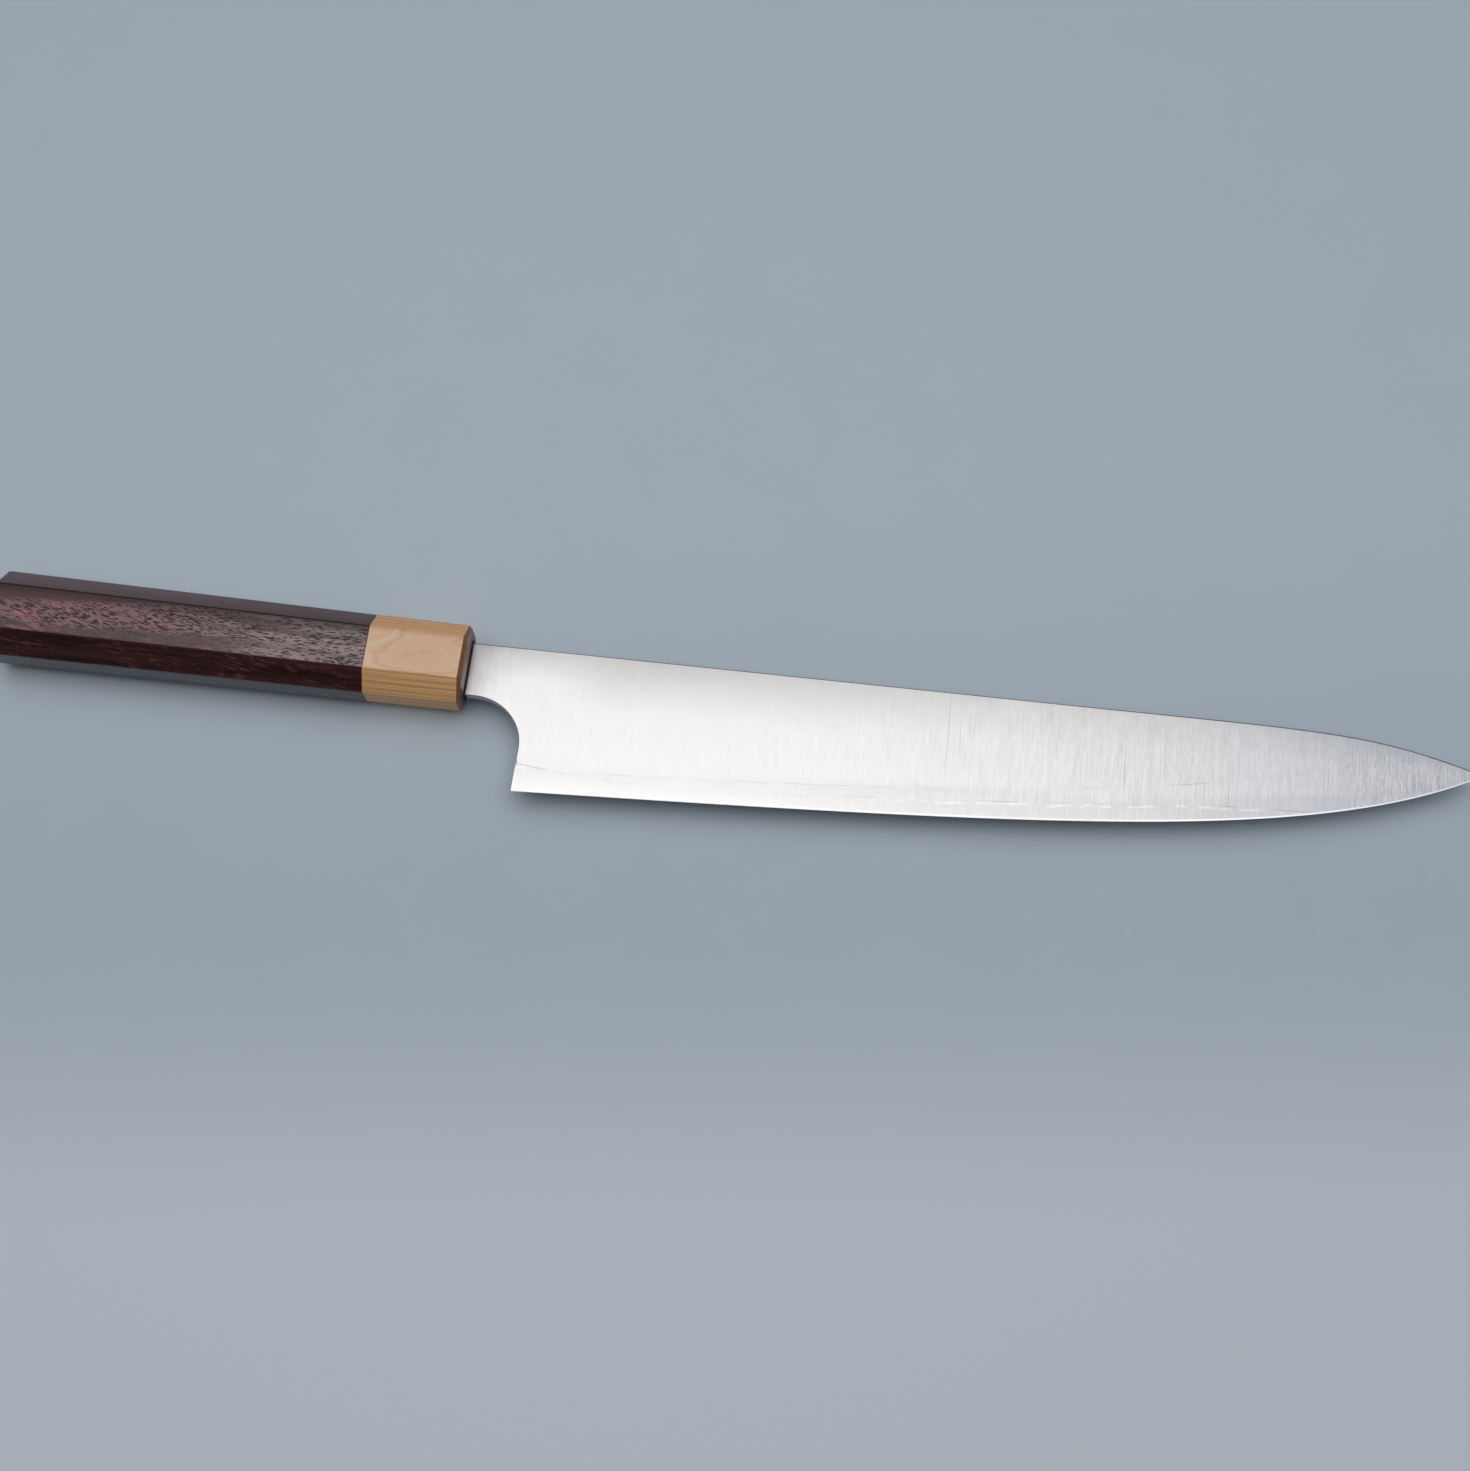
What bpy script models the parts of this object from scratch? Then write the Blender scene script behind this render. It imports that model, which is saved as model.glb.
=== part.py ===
"""Sujihiki slicing knife: a laminated blade on a hidden tang in an octagonal wooden handle.

The knife lies on its side. In the knife's own frame X runs along the handle to the tip, Y toward the spine
and Z out of the upper face, with the origin on the blade's mid-plane where the handle's axis leaves the
ferrule. An empty then lifts the knife so that the world origin is on the flat that the handle lies on.
"""

import math

import bmesh
import bpy
from mathutils import Vector

MM = 0.001

# Handle: one taper runs through the handle body and the ferrule.
HANDLE_LENGTH = 135.5 * MM
BUTT_HEIGHT = 25.6 * MM
BUTT_THICKNESS = 19.4 * MM
BUTT_CHAMFER = 6.0 * MM
MOUTH_HEIGHT = 23.4 * MM
MOUTH_THICKNESS = 18.3 * MM
MOUTH_CHAMFER = 5.4 * MM
FACET_EDGE_RADIUS = 0.8 * MM
BUTT_RIM = 1.0 * MM
FERRULE_LENGTH = 28.0 * MM
MOUTH_RIM = 0.75 * MM
MOUTH_DOME = 0.55 * MM
MOUTH_DOME_RUN = 3.2 * MM
JOINT_CHAMFER = 0.15 * MM
JOINT_GAP = 0.1 * MM

# Blade outline, seen from the side.
NECK_TO_HEEL = 17.3 * MM
HEEL_TO_TIP = 268.0 * MM
SPINE_AT_NECK = 7.35 * MM
NECK_BELOW_AXIS = 8.4 * MM
HEEL_BELOW_AXIS = 34.4 * MM
TIP_ABOVE_AXIS = 1.7 * MM
SPINE_SLOPE = 0.0093
SPINE_CURVE_LENGTH = 125.0 * MM
SPINE_CURVE_REACH = 0.668
SPINE_TIP_SLOPE = -0.2915
SPINE_TIP_REACH = 0.263
EDGE_HEEL_SLOPE = 0.0495
EDGE_HEEL_REACH = 0.584
EDGE_TIP_SLOPE = 0.545
EDGE_TIP_REACH = 0.1625
CHOIL_RADIUS = 14.0 * MM
HEEL_LEAN = 0.3 * MM

# Blade thickness and grind.
SPINE_THICKNESS_NECK = 3.0 * MM
SPINE_THICKNESS_TIP = 0.6 * MM
TIP_GRIND = 0.3
DISTAL_TAPER_POWER = 1.25
BEHIND_EDGE_THICKNESS = 0.3 * MM
EDGE_BEVEL_WIDTH = 0.55 * MM
GRIND_CONVEXITY = 0.25
CORE_THICKNESS = 0.7 * MM
WELD_SEAM = 0.02 * MM
SPINE_ROUNDING = 0.35 * MM
CHOIL_ROUNDING = 0.35 * MM

# Tang, which runs back into the handle.
WOOD_BEHIND_TANG = 40.5 * MM
TANG_INSIDE_DOWEL = 0.6 * MM
TANG_END_HEIGHT = 7.0 * MM
TANG_END_THICKNESS = 2.2 * MM
TANG_END_CHAMFER = 0.8 * MM
NECK_INSIDE_FERRULE = 9.0 * MM
TANG_SHOULDER_RUN = 2.0 * MM

# Dowel and bores.
DOWEL_DIAMETER = 12.0 * MM
DOWEL_BEHIND_SHOULDER = 1.5 * MM
DOWEL_BEYOND_TANG = 9.0 * MM
DOWEL_END_CHAMFER = 0.8 * MM
FIT_CLEARANCE = 0.3 * MM
SLOT_BEYOND_TANG = 2.0 * MM
DRILL_POINT_ANGLE = math.radians(118.0)

# Resin seal round the neck.
SEAL_WALL = 0.4 * MM
SEAL_DEPTH = 4.0 * MM
SEAL_RECESS = 0.3 * MM

# How finely the curved forms are divided.
ROUND_SIDES = 48
FACET_EDGE_STEPS = 2
FACE_ROWS = 7
GROUND_ROWS = 3
EDGE_STATIONS = 60
CHOIL_STATIONS = 16
TIP_CROWDING = 1.6
ROUNDING_ANGLES = (0.0, 30.0, 60.0, 90.0)
ROUNDING_WALL_SHARE = 0.8
BEVEL_HEIGHT_SHARE = 1 / 3
STRETCH_LIMIT = 3.0
SEARCH_STEPS = 40
SHARP_ANGLE = math.radians(30.0)
COINCIDENT = 0.001 * MM

# How the grid of the blade fans round the choil.
CHOIL_FAN_END = 24.0 * MM
HEEL_FAN_END = 40.0 * MM
FAN_FADE = 150.0 * MM
FEATHER_RUN = 1.0 * MM

# Values that follow from the ones above.
HEEL_X = NECK_TO_HEEL
TIP_X = NECK_TO_HEEL + HEEL_TO_TIP
CHOIL_BACK_X = HEEL_X + HEEL_LEAN
CHOIL_CENTRE = Vector((CHOIL_BACK_X - CHOIL_RADIUS, -NECK_BELOW_AXIS - CHOIL_RADIUS))
HEEL_CORNER = Vector((HEEL_X, -HEEL_BELOW_AXIS))
TIP_POINT = Vector((TIP_X, TIP_ABOVE_AXIS))
CORE_FACE = CORE_THICKNESS / 2
CLADDING_FACE = CORE_FACE + WELD_SEAM
SLOT_MARGIN = 2 * FIT_CLEARANCE + SEAL_WALL
BORE_RADIUS = DOWEL_DIAMETER / 2 + FIT_CLEARANCE
TANG_LENGTH = HANDLE_LENGTH - WOOD_BEHIND_TANG
SHOULDER_X = -NECK_INSIDE_FERRULE - TANG_SHOULDER_RUN
DOWEL_FRONT_X = SHOULDER_X - DOWEL_BEHIND_SHOULDER
DOWEL_BACK_X = -TANG_LENGTH - DOWEL_BEYOND_TANG
REST_X = -(FERRULE_LENGTH + HANDLE_LENGTH) / 2


def clear_scene():
    """Remove every object that the file starts with."""
    for item in list(bpy.data.objects):
        bpy.data.objects.remove(item, do_unlink=True)


def make_material(name, colour, roughness, metallic):
    """Return a Principled BSDF material."""
    material = bpy.data.materials.new(name)
    material.use_nodes = True
    shader = material.node_tree.nodes["Principled BSDF"]
    shader.inputs["Base Color"].default_value = (*colour, 1.0)
    shader.inputs["Roughness"].default_value = roughness
    shader.inputs["Metallic"].default_value = metallic
    material.diffuse_color = (*colour, 1.0)
    return material


def add_object(name, mesh_builder, material, parent, smooth=True):
    """Turn a bmesh into a named object under the knife's empty."""
    bmesh.ops.recalc_face_normals(mesh_builder, faces=mesh_builder.faces)
    mesh = bpy.data.meshes.new(name)
    mesh_builder.to_mesh(mesh)
    mesh_builder.free()
    if material is not None:
        mesh.materials.append(material)
    if smooth:
        mesh.shade_smooth()
        mesh.set_sharp_from_angle(angle=SHARP_ANGLE)
    item = bpy.data.objects.new(name, mesh)
    bpy.context.scene.collection.objects.link(item)
    item.parent = parent
    return item


def cut_away(target, cutter):
    """Subtract a hidden cutter from a piece with a Boolean modifier."""
    cutter.hide_render = True
    cutter.display_type = "WIRE"
    modifier = target.modifiers.new("cut_" + cutter.name, "BOOLEAN")
    modifier.operation = "DIFFERENCE"
    modifier.solver = "EXACT"
    modifier.object = cutter


# Lofted and turned forms


def octagon_ring(x, half_height, half_thickness, chamfer, corner_radius):
    """Return the points of an octagon across X with softened corners.

    The four chamfers run at 45 degrees. Each corner turns through 45 degrees on an arc.
    """
    corners = [
        Vector((half_height - chamfer, half_thickness)),
        Vector((half_height, half_thickness - chamfer)),
        Vector((half_height, chamfer - half_thickness)),
        Vector((half_height - chamfer, -half_thickness)),
        Vector((chamfer - half_height, -half_thickness)),
        Vector((-half_height, chamfer - half_thickness)),
        Vector((-half_height, half_thickness - chamfer)),
        Vector((chamfer - half_height, half_thickness)),
    ]
    eighth = math.radians(45.0)
    to_centre = corner_radius / math.cos(eighth / 2)
    points = []
    for index, corner in enumerate(corners):
        before = (corners[index - 1] - corner).normalized()
        after = (corners[(index + 1) % len(corners)] - corner).normalized()
        inward = (before + after).normalized()
        centre = corner + inward * to_centre
        start = math.atan2(-inward.y, -inward.x) + eighth / 2
        for step in range(FACET_EDGE_STEPS + 1):
            angle = start - eighth * step / FACET_EDGE_STEPS
            point = centre + corner_radius * Vector((math.cos(angle), math.sin(angle)))
            points.append(Vector((x, point.x, point.y)))
    return points


def handle_ring(x, inset):
    """Return the handle's section at x, drawn in by inset on every facet."""
    share = -x / HANDLE_LENGTH
    half_height = (MOUTH_HEIGHT + (BUTT_HEIGHT - MOUTH_HEIGHT) * share) / 2
    half_thickness = (MOUTH_THICKNESS + (BUTT_THICKNESS - MOUTH_THICKNESS) * share) / 2
    chamfer = MOUTH_CHAMFER + (BUTT_CHAMFER - MOUTH_CHAMFER) * share
    chamfer_inset = inset * (2 - math.sqrt(2))
    return octagon_ring(
        x,
        half_height - inset,
        half_thickness - inset,
        chamfer - chamfer_inset,
        FACET_EDGE_RADIUS,
    )


def loft(rings):
    """Bridge closed rings of equal length and cap both ends."""
    builder = bmesh.new()
    loops = [[builder.verts.new(point) for point in ring] for ring in rings]
    for near, far in zip(loops, loops[1:]):
        for index in range(len(near)):
            following = (index + 1) % len(near)
            builder.faces.new((near[index], near[following], far[following], far[index]))
    builder.faces.new(list(reversed(loops[0])))
    builder.faces.new(loops[-1])
    return builder


def chamfer_rim(size):
    """Return (depth, inset) pairs of a flat chamfer, from the end face outward."""
    return [(0.0, size), (size, 0.0)]


def rounded_rim(depth, run):
    """Return (depth, inset) pairs of a rim that turns through a quarter, from the end face outward."""
    pairs = []
    for angle in ROUNDING_ANGLES:
        turn = math.radians(angle)
        pairs.append((depth * (1 - math.cos(turn)), run * (1 - math.sin(turn))))
    return pairs


def domed_rim(rim, dome, run):
    """Return (depth, inset) pairs of a low dome inside a flat chamfer, from the end face outward."""
    pairs = [(depth, rim + inset) for depth, inset in rounded_rim(dome, run)]
    return pairs + [(dome + rim, 0.0)]


def handle_loft(back_x, front_x, back_rim, front_rim):
    """Return a length of the handle between two end faces with their rims."""
    rings = [handle_ring(back_x + depth, inset) for depth, inset in back_rim]
    rings += [handle_ring(front_x - depth, inset) for depth, inset in reversed(front_rim)]
    return loft(rings)


def turned(profile):
    """Return a closed body of revolution about X from (x, radius) points; a zero radius ends in a point."""
    builder = bmesh.new()
    loops = []
    for x, radius in profile:
        if radius == 0.0:
            loops.append([builder.verts.new((x, 0.0, 0.0))])
            continue
        ring = []
        for side in range(ROUND_SIDES):
            angle = math.tau * side / ROUND_SIDES
            ring.append(builder.verts.new((x, radius * math.cos(angle), radius * math.sin(angle))))
        loops.append(ring)
    for near, far in zip(loops, loops[1:]):
        for side in range(ROUND_SIDES):
            following = (side + 1) % ROUND_SIDES
            if len(far) == 1:
                builder.faces.new((near[side], near[following], far[0]))
            elif len(near) == 1:
                builder.faces.new((near[0], far[following], far[side]))
            else:
                builder.faces.new((near[side], near[following], far[following], far[side]))
    for loop in (loops[0], loops[-1]):
        if len(loop) > 1:
            builder.faces.new(loop)
    return builder


def block(low, high):
    """Return a box between two corners."""
    builder = bmesh.new()
    bmesh.ops.create_cube(builder, size=1.0)
    size = Vector(high) - Vector(low)
    centre = (Vector(high) + Vector(low)) / 2
    bmesh.ops.scale(builder, vec=size, verts=builder.verts)
    bmesh.ops.translate(builder, vec=centre, verts=builder.verts)
    return builder


# Blade outline and thickness


def smooth_step(value):
    """Ease from 0 to 1."""
    clamped = min(max(value, 0.0), 1.0)
    return clamped * clamped * (3 - 2 * clamped)


def search(low, high, still_low):
    """Halve a range until it closes on the place where still_low turns false."""
    for _ in range(SEARCH_STEPS):
        middle = (low + high) / 2
        if still_low(middle):
            low = middle
        else:
            high = middle
    return (low + high) / 2


def bezier_point(points, share):
    """Return a point of a cubic curve."""
    rest = 1 - share
    return (
        points[0] * rest**3
        + points[1] * 3 * rest**2 * share
        + points[2] * 3 * rest * share**2
        + points[3] * share**3
    )


def bezier_height(points, x):
    """Return the height at x of a cubic curve whose points advance along X."""
    share = search(0.0, 1.0, lambda place: bezier_point(points, place).x < x)
    return bezier_point(points, share).y


def spine_height(x):
    """Return the spine's Y: a straight rise, then a curve down to the tip."""
    curve_x = TIP_X - SPINE_CURVE_LENGTH
    if x <= curve_x:
        return SPINE_AT_NECK + SPINE_SLOPE * x
    start = Vector((curve_x, SPINE_AT_NECK + SPINE_SLOPE * curve_x))
    leave = start + SPINE_CURVE_REACH * SPINE_CURVE_LENGTH * Vector((1.0, SPINE_SLOPE))
    arrive = TIP_POINT - SPINE_TIP_REACH * SPINE_CURVE_LENGTH * Vector((1.0, SPINE_TIP_SLOPE))
    return bezier_height((start, leave, arrive, TIP_POINT), min(x, TIP_X))


def edge_height(x):
    """Return the cutting edge's Y, held level behind the heel."""
    if x <= HEEL_X:
        return HEEL_CORNER.y
    leave = HEEL_CORNER + EDGE_HEEL_REACH * HEEL_TO_TIP * Vector((1.0, EDGE_HEEL_SLOPE))
    arrive = TIP_POINT - EDGE_TIP_REACH * HEEL_TO_TIP * Vector((1.0, EDGE_TIP_SLOPE))
    return bezier_height((HEEL_CORNER, leave, arrive, TIP_POINT), min(x, TIP_X))


def bevel_height(x):
    """Return how far the edge bevel reaches up the blade, which narrows at the tip."""
    return min(EDGE_BEVEL_WIDTH, (spine_height(x) - edge_height(x)) * BEVEL_HEIGHT_SHARE)


def spine_thickness(x):
    """Return the thickness at the spine: the tang thickens to the neck, and the blade thins to the tip."""
    if x <= 0.0:
        share = min(-x / TANG_LENGTH, 1.0)
        return SPINE_THICKNESS_NECK + (TANG_END_THICKNESS - SPINE_THICKNESS_NECK) * share
    share = min(x / TIP_X, 1.0)
    drop = (SPINE_THICKNESS_NECK - SPINE_THICKNESS_TIP) * share**DISTAL_TAPER_POWER
    return min(SPINE_THICKNESS_NECK - drop, TIP_GRIND * max(TIP_X - x, 0.0))


def half_thickness(point):
    """Return half the blade's thickness at a point of its side view, without rounded rims.

    The grind is a slightly convex wedge from the spine to just behind the edge bevel. Between the ferrule
    and the heel it eases into the flat sides of the neck and tang.
    """
    spine = spine_thickness(point.x) / 2
    behind_edge = BEHIND_EDGE_THICKNESS / 2
    edge = edge_height(point.x)
    bevel = bevel_height(point.x)
    above = point.y - edge
    if above < bevel and point.x >= HEEL_X:
        return min(behind_edge, spine) * max(above, 0.0) / bevel
    share = min(max((above - bevel) / (spine_height(point.x) - edge - bevel), 0.0), 1.0)
    wedge = behind_edge + (spine - behind_edge) * share * (1 + GRIND_CONVEXITY * (1 - share))
    return spine + (wedge - spine) * smooth_step(point.x / HEEL_X)


def find_share(low_point, high_point, wanted):
    """Return the share of the way from low to high where half the thickness falls to a wanted value."""
    if half_thickness(low_point) <= wanted:
        return 0.0
    if half_thickness(high_point) >= wanted:
        return 1.0
    return search(0.0, 1.0, lambda share: half_thickness(low_point.lerp(high_point, share)) > wanted)


class Station:
    """One line across the blade's side view, from its top outline to its bottom outline."""

    def __init__(self, top, bottom, on_edge=False):
        self.top = top
        self.bottom = bottom
        self.on_edge = on_edge
        self.top_stretch = 1.0
        self.bottom_stretch = 1.0

    def point(self, share):
        """Return the point at a share of the way down."""
        return self.top.lerp(self.bottom, share)

    def length(self):
        """Return the length of the line."""
        return (self.bottom - self.top).length


def tang_stations():
    """Return the stations of the tang, from its end to the ferrule's face."""
    end_half = TANG_END_HEIGHT / 2
    root_half = DOWEL_DIAMETER / 2 - TANG_INSIDE_DOWEL
    outline = [
        (-TANG_LENGTH, end_half - TANG_END_CHAMFER, TANG_END_CHAMFER - end_half),
        (-TANG_LENGTH + TANG_END_CHAMFER, end_half, -end_half),
        (SHOULDER_X, root_half, -root_half),
        (-NECK_INSIDE_FERRULE, spine_height(-NECK_INSIDE_FERRULE), -NECK_BELOW_AXIS),
        (0.0, spine_height(0.0), -NECK_BELOW_AXIS),
    ]
    return [Station(Vector((x, top)), Vector((x, bottom))) for x, top, bottom in outline]


def choil_stations():
    """Return the stations that fan round the choil's quarter circle."""
    stations = []
    for index in range(CHOIL_STATIONS + 1):
        share = index / CHOIL_STATIONS
        angle = math.radians(90.0) * (1 - share)
        bottom = CHOIL_CENTRE + CHOIL_RADIUS * Vector((math.cos(angle), math.sin(angle)))
        top_x = CHOIL_CENTRE.x + (CHOIL_FAN_END - CHOIL_CENTRE.x) * share
        stations.append(Station(Vector((top_x, spine_height(top_x))), bottom))
    return stations


def heel_stations():
    """Return the stations down the back of the heel, with one where each layer of steel ends."""
    start = Vector((CHOIL_BACK_X, CHOIL_CENTRE.y))
    bevel_top = HEEL_CORNER.y + EDGE_BEVEL_WIDTH
    cladding_end = find_share(start, HEEL_CORNER, CLADDING_FACE)
    core_end = find_share(start, HEEL_CORNER, CORE_FACE)
    bevel_end = (bevel_top - start.y) / (HEEL_CORNER.y - start.y)
    stations = []
    for share in (cladding_end / 2, cladding_end, core_end, (core_end + bevel_end) / 2, bevel_end):
        top_x = CHOIL_FAN_END + (HEEL_FAN_END - CHOIL_FAN_END) * share
        bottom = start.lerp(HEEL_CORNER, share)
        stations.append(Station(Vector((top_x, spine_height(top_x))), bottom))
    return stations


def spine_station_x(wanted):
    """Return where along the spine half its thickness falls to a wanted value."""
    return search(HEEL_X, TIP_X, lambda x: spine_thickness(x) / 2 > wanted)


def edge_stations():
    """Return the stations that end on the cutting edge, closer together toward the tip."""
    ends = [spine_station_x(CLADDING_FACE), spine_station_x(CORE_FACE)]
    places = []
    for index in range(EDGE_STATIONS):
        share = index / EDGE_STATIONS
        places.append(TIP_X - HEEL_TO_TIP * (1 - share) ** TIP_CROWDING)
    clear = HEEL_TO_TIP / EDGE_STATIONS**TIP_CROWDING
    places = [x for x in places if all(abs(x - end) > clear for end in ends)]
    stations = []
    for x in sorted(places + ends):
        fan = (HEEL_FAN_END - HEEL_X) * max(1 - (x - HEEL_X) / (FAN_FADE - HEEL_X), 0.0)
        top_x = x + fan
        stations.append(Station(Vector((top_x, spine_height(top_x))), Vector((x, edge_height(x))), True))
    return stations


def measure_stretch(stations):
    """Store how much longer a rounding runs along each station than square to the outline."""
    for index, station in enumerate(stations):
        before = stations[max(index - 1, 0)]
        after = stations[min(index + 1, len(stations) - 1)]
        along = (station.bottom - station.top).normalized()
        for side in ("top", "bottom"):
            outline = (getattr(after, side) - getattr(before, side)).normalized()
            square = abs(outline.cross(along))
            setattr(station, side + "_stretch", min(1 / max(square, COINCIDENT), STRETCH_LIMIT))


def blade_stations():
    """Return every station of the blade from the end of the tang to just before the tip."""
    stations = tang_stations() + choil_stations() + heel_stations() + edge_stations()
    measure_stretch(stations)
    return stations


# Blade solids


def add_face(builder, vertices):
    """Add a face, leaving out repeated vertices, and skip one that has no area."""
    kept = []
    for vertex in vertices:
        if vertex not in kept:
            kept.append(vertex)
    if len(kept) >= 3:
        builder.faces.new(kept)


def rim_drop(distance, radius):
    """Return how far a rounded rim lies below the face, at a distance in from the outline."""
    if radius <= 0.0 or distance >= radius:
        return 0.0
    return radius - math.sqrt(radius**2 - (radius - distance) ** 2)


def feathers_out(station):
    """Tell whether a cladding thins to nothing before or at the end of a station."""
    return station.on_edge or half_thickness(station.bottom) <= CLADDING_FACE + COINCIDENT


def cladding_column(station, length_share):
    """Return the points down one station of a cladding's outer face, with rounded rims."""
    length = station.length() * length_share
    wall_top = max(half_thickness(station.top) - CLADDING_FACE, 0.0)
    wall_bottom = max(half_thickness(station.point(length_share)) - CLADDING_FACE, 0.0)
    top_radius = min(SPINE_ROUNDING, wall_top * ROUNDING_WALL_SHARE)
    bottom_radius = min(CHOIL_ROUNDING, wall_bottom * ROUNDING_WALL_SHARE)
    if feathers_out(station):
        bottom_radius = 0.0
    top_run = min(top_radius * station.top_stretch, length / FACE_ROWS)
    bottom_run = min((bottom_radius or FEATHER_RUN) * station.bottom_stretch, length / FACE_ROWS)
    shares = [1 - math.cos(math.radians(angle)) for angle in ROUNDING_ANGLES]
    distances = [top_run * share for share in shares]
    for row in range(1, FACE_ROWS):
        distances.append(top_run + (length - top_run - bottom_run) * row / FACE_ROWS)
    distances += [length - bottom_run * share for share in reversed(shares)]
    points = []
    for distance in distances:
        place = station.point(distance / station.length())
        height = half_thickness(place)
        if top_run > 0.0:
            height -= rim_drop(distance / top_run * top_radius, top_radius)
        if bottom_run > 0.0:
            height -= rim_drop((length - distance) / bottom_run * bottom_radius, bottom_radius)
        points.append(Vector((place.x, place.y, max(height, CLADDING_FACE))))
    return points


def skin(builder, face, back):
    """Skin two grids of columns, and close the gap between them along both rims and the first column."""
    for columns in (face, back):
        for near, far in zip(columns, columns[1:]):
            for row in range(len(near) - 1):
                add_face(builder, (near[row], near[row + 1], far[row + 1], far[row]))
    for rim in (0, -1):
        for index in range(len(face) - 1):
            after = index + 1
            add_face(builder, (face[index][rim], face[after][rim], back[after][rim], back[index][rim]))
    add_face(builder, face[0] + list(reversed(back[0])))


def build_cladding(stations, side):
    """Return one outer layer of the blade: +1 for the upper face, -1 for the lower one.

    It feathers out to nothing at the weld line above the edge, and where the spine thins to the core.
    """
    builder = bmesh.new()
    inner_z = side * CLADDING_FACE
    tip_x = spine_station_x(CLADDING_FACE)
    outer = []
    inner = []
    for station in stations:
        if station.top.x > tip_x - COINCIDENT:
            break
        share = find_share(station.top, station.bottom, CLADDING_FACE)
        column = []
        for point in cladding_column(station, share):
            column.append(builder.verts.new((point.x, point.y, side * point.z)))
        inner_top = builder.verts.new((station.top.x, station.top.y, inner_z))
        if feathers_out(station):
            column[-1].co.z = inner_z
            inner_bottom = column[-1]
        else:
            inner_bottom = builder.verts.new((station.bottom.x, station.bottom.y, inner_z))
        outer.append(column)
        inner.append([inner_top, inner_bottom])
    tip = builder.verts.new((tip_x, spine_height(tip_x), inner_z))
    outer.append([tip] * len(outer[0]))
    inner.append([tip, tip])
    skin(builder, outer, inner)
    return builder


def core_column(builder, station, side, edge):
    """Return the vertices down one station of a face of the core.

    The first two bound the flat that the cladding covers, the next ones run down the ground face, and the
    last one is on the cutting edge. Where a stretch has no length its two vertices are the same one.
    """
    start = find_share(station.top, station.bottom, CORE_FACE)
    shoulder = 1.0
    if station.on_edge:
        shoulder = 1 - bevel_height(station.bottom.x) / (station.top.y - station.bottom.y)
    shares = [0.0]
    for row in range(GROUND_ROWS + 1):
        shares.append(start + (shoulder - start) * row / GROUND_ROWS)
    column = []
    for share in shares:
        place = station.point(share)
        height = min(half_thickness(place), CORE_FACE)
        point = Vector((place.x, place.y, side * height))
        if column and (point - column[-1].co).length < COINCIDENT:
            column.append(column[-1])
        else:
            column.append(builder.verts.new(point))
    column.append(edge or column[-1])
    return column


def build_core(stations):
    """Return the middle layer: a flat slab between the claddings, ground down to the cutting edge."""
    builder = bmesh.new()
    upper = []
    lower = []
    for station in stations:
        edge = None
        if station.on_edge:
            edge = builder.verts.new((station.bottom.x, station.bottom.y, 0.0))
        upper.append(core_column(builder, station, 1, edge))
        lower.append(core_column(builder, station, -1, edge))
    tip = builder.verts.new((TIP_POINT.x, TIP_POINT.y, 0.0))
    upper.append([tip] * len(upper[0]))
    lower.append([tip] * len(lower[0]))
    skin(builder, upper, lower)
    return builder


# Pieces


def build_handle_body(parent, material):
    """Make the long wooden body, drilled from its front for the dowel."""
    front = -FERRULE_LENGTH - JOINT_GAP
    form = handle_loft(-HANDLE_LENGTH, front, rounded_rim(BUTT_RIM, BUTT_RIM), chamfer_rim(JOINT_CHAMFER))
    body = add_object("handle_body", form, material, parent)
    bore_end = DOWEL_BACK_X - FIT_CLEARANCE
    point_length = BORE_RADIUS / math.tan(DRILL_POINT_ANGLE / 2)
    profile = [(bore_end - point_length, 0.0), (bore_end, BORE_RADIUS), (front + BORE_RADIUS, BORE_RADIUS)]
    cut_away(body, add_object("body_bore", turned(profile), None, parent))
    return body


def build_ferrule(parent, material):
    """Make the ferrule: a domed mouth, a slot for the neck in front and a bore for the dowel behind."""
    mouth = domed_rim(MOUTH_RIM, MOUTH_DOME, MOUTH_DOME_RUN)
    form = handle_loft(-FERRULE_LENGTH, 0.0, chamfer_rim(JOINT_CHAMFER), mouth)
    ferrule = add_object("ferrule", form, material, parent)
    bore_front = DOWEL_FRONT_X + FIT_CLEARANCE
    profile = [(-FERRULE_LENGTH - BORE_RADIUS, BORE_RADIUS), (bore_front, BORE_RADIUS)]
    cut_away(ferrule, add_object("ferrule_bore", turned(profile), None, parent))
    half_slot = SPINE_THICKNESS_NECK / 2 + SLOT_MARGIN
    low = (DOWEL_FRONT_X, -NECK_BELOW_AXIS - SLOT_MARGIN, -half_slot)
    high = (SLOT_MARGIN, spine_height(0.0) + SLOT_MARGIN, half_slot)
    cut_away(ferrule, add_object("ferrule_slot", block(low, high), None, parent, smooth=False))
    return ferrule


def build_dowel(parent, material):
    """Make the slotted rod that joins ferrule and body and grips the tang."""
    radius = DOWEL_DIAMETER / 2
    profile = [
        (DOWEL_BACK_X, radius - DOWEL_END_CHAMFER),
        (DOWEL_BACK_X + DOWEL_END_CHAMFER, radius),
        (DOWEL_FRONT_X - DOWEL_END_CHAMFER, radius),
        (DOWEL_FRONT_X, radius - DOWEL_END_CHAMFER),
    ]
    dowel = add_object("dowel", turned(profile), material, parent)
    half_slot = SPINE_THICKNESS_NECK / 2 + FIT_CLEARANCE
    low = (-TANG_LENGTH - SLOT_BEYOND_TANG, -DOWEL_DIAMETER, -half_slot)
    high = (DOWEL_FRONT_X + DOWEL_DIAMETER, DOWEL_DIAMETER, half_slot)
    cut_away(dowel, add_object("dowel_slot", block(low, high), None, parent, smooth=False))
    return dowel


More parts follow.
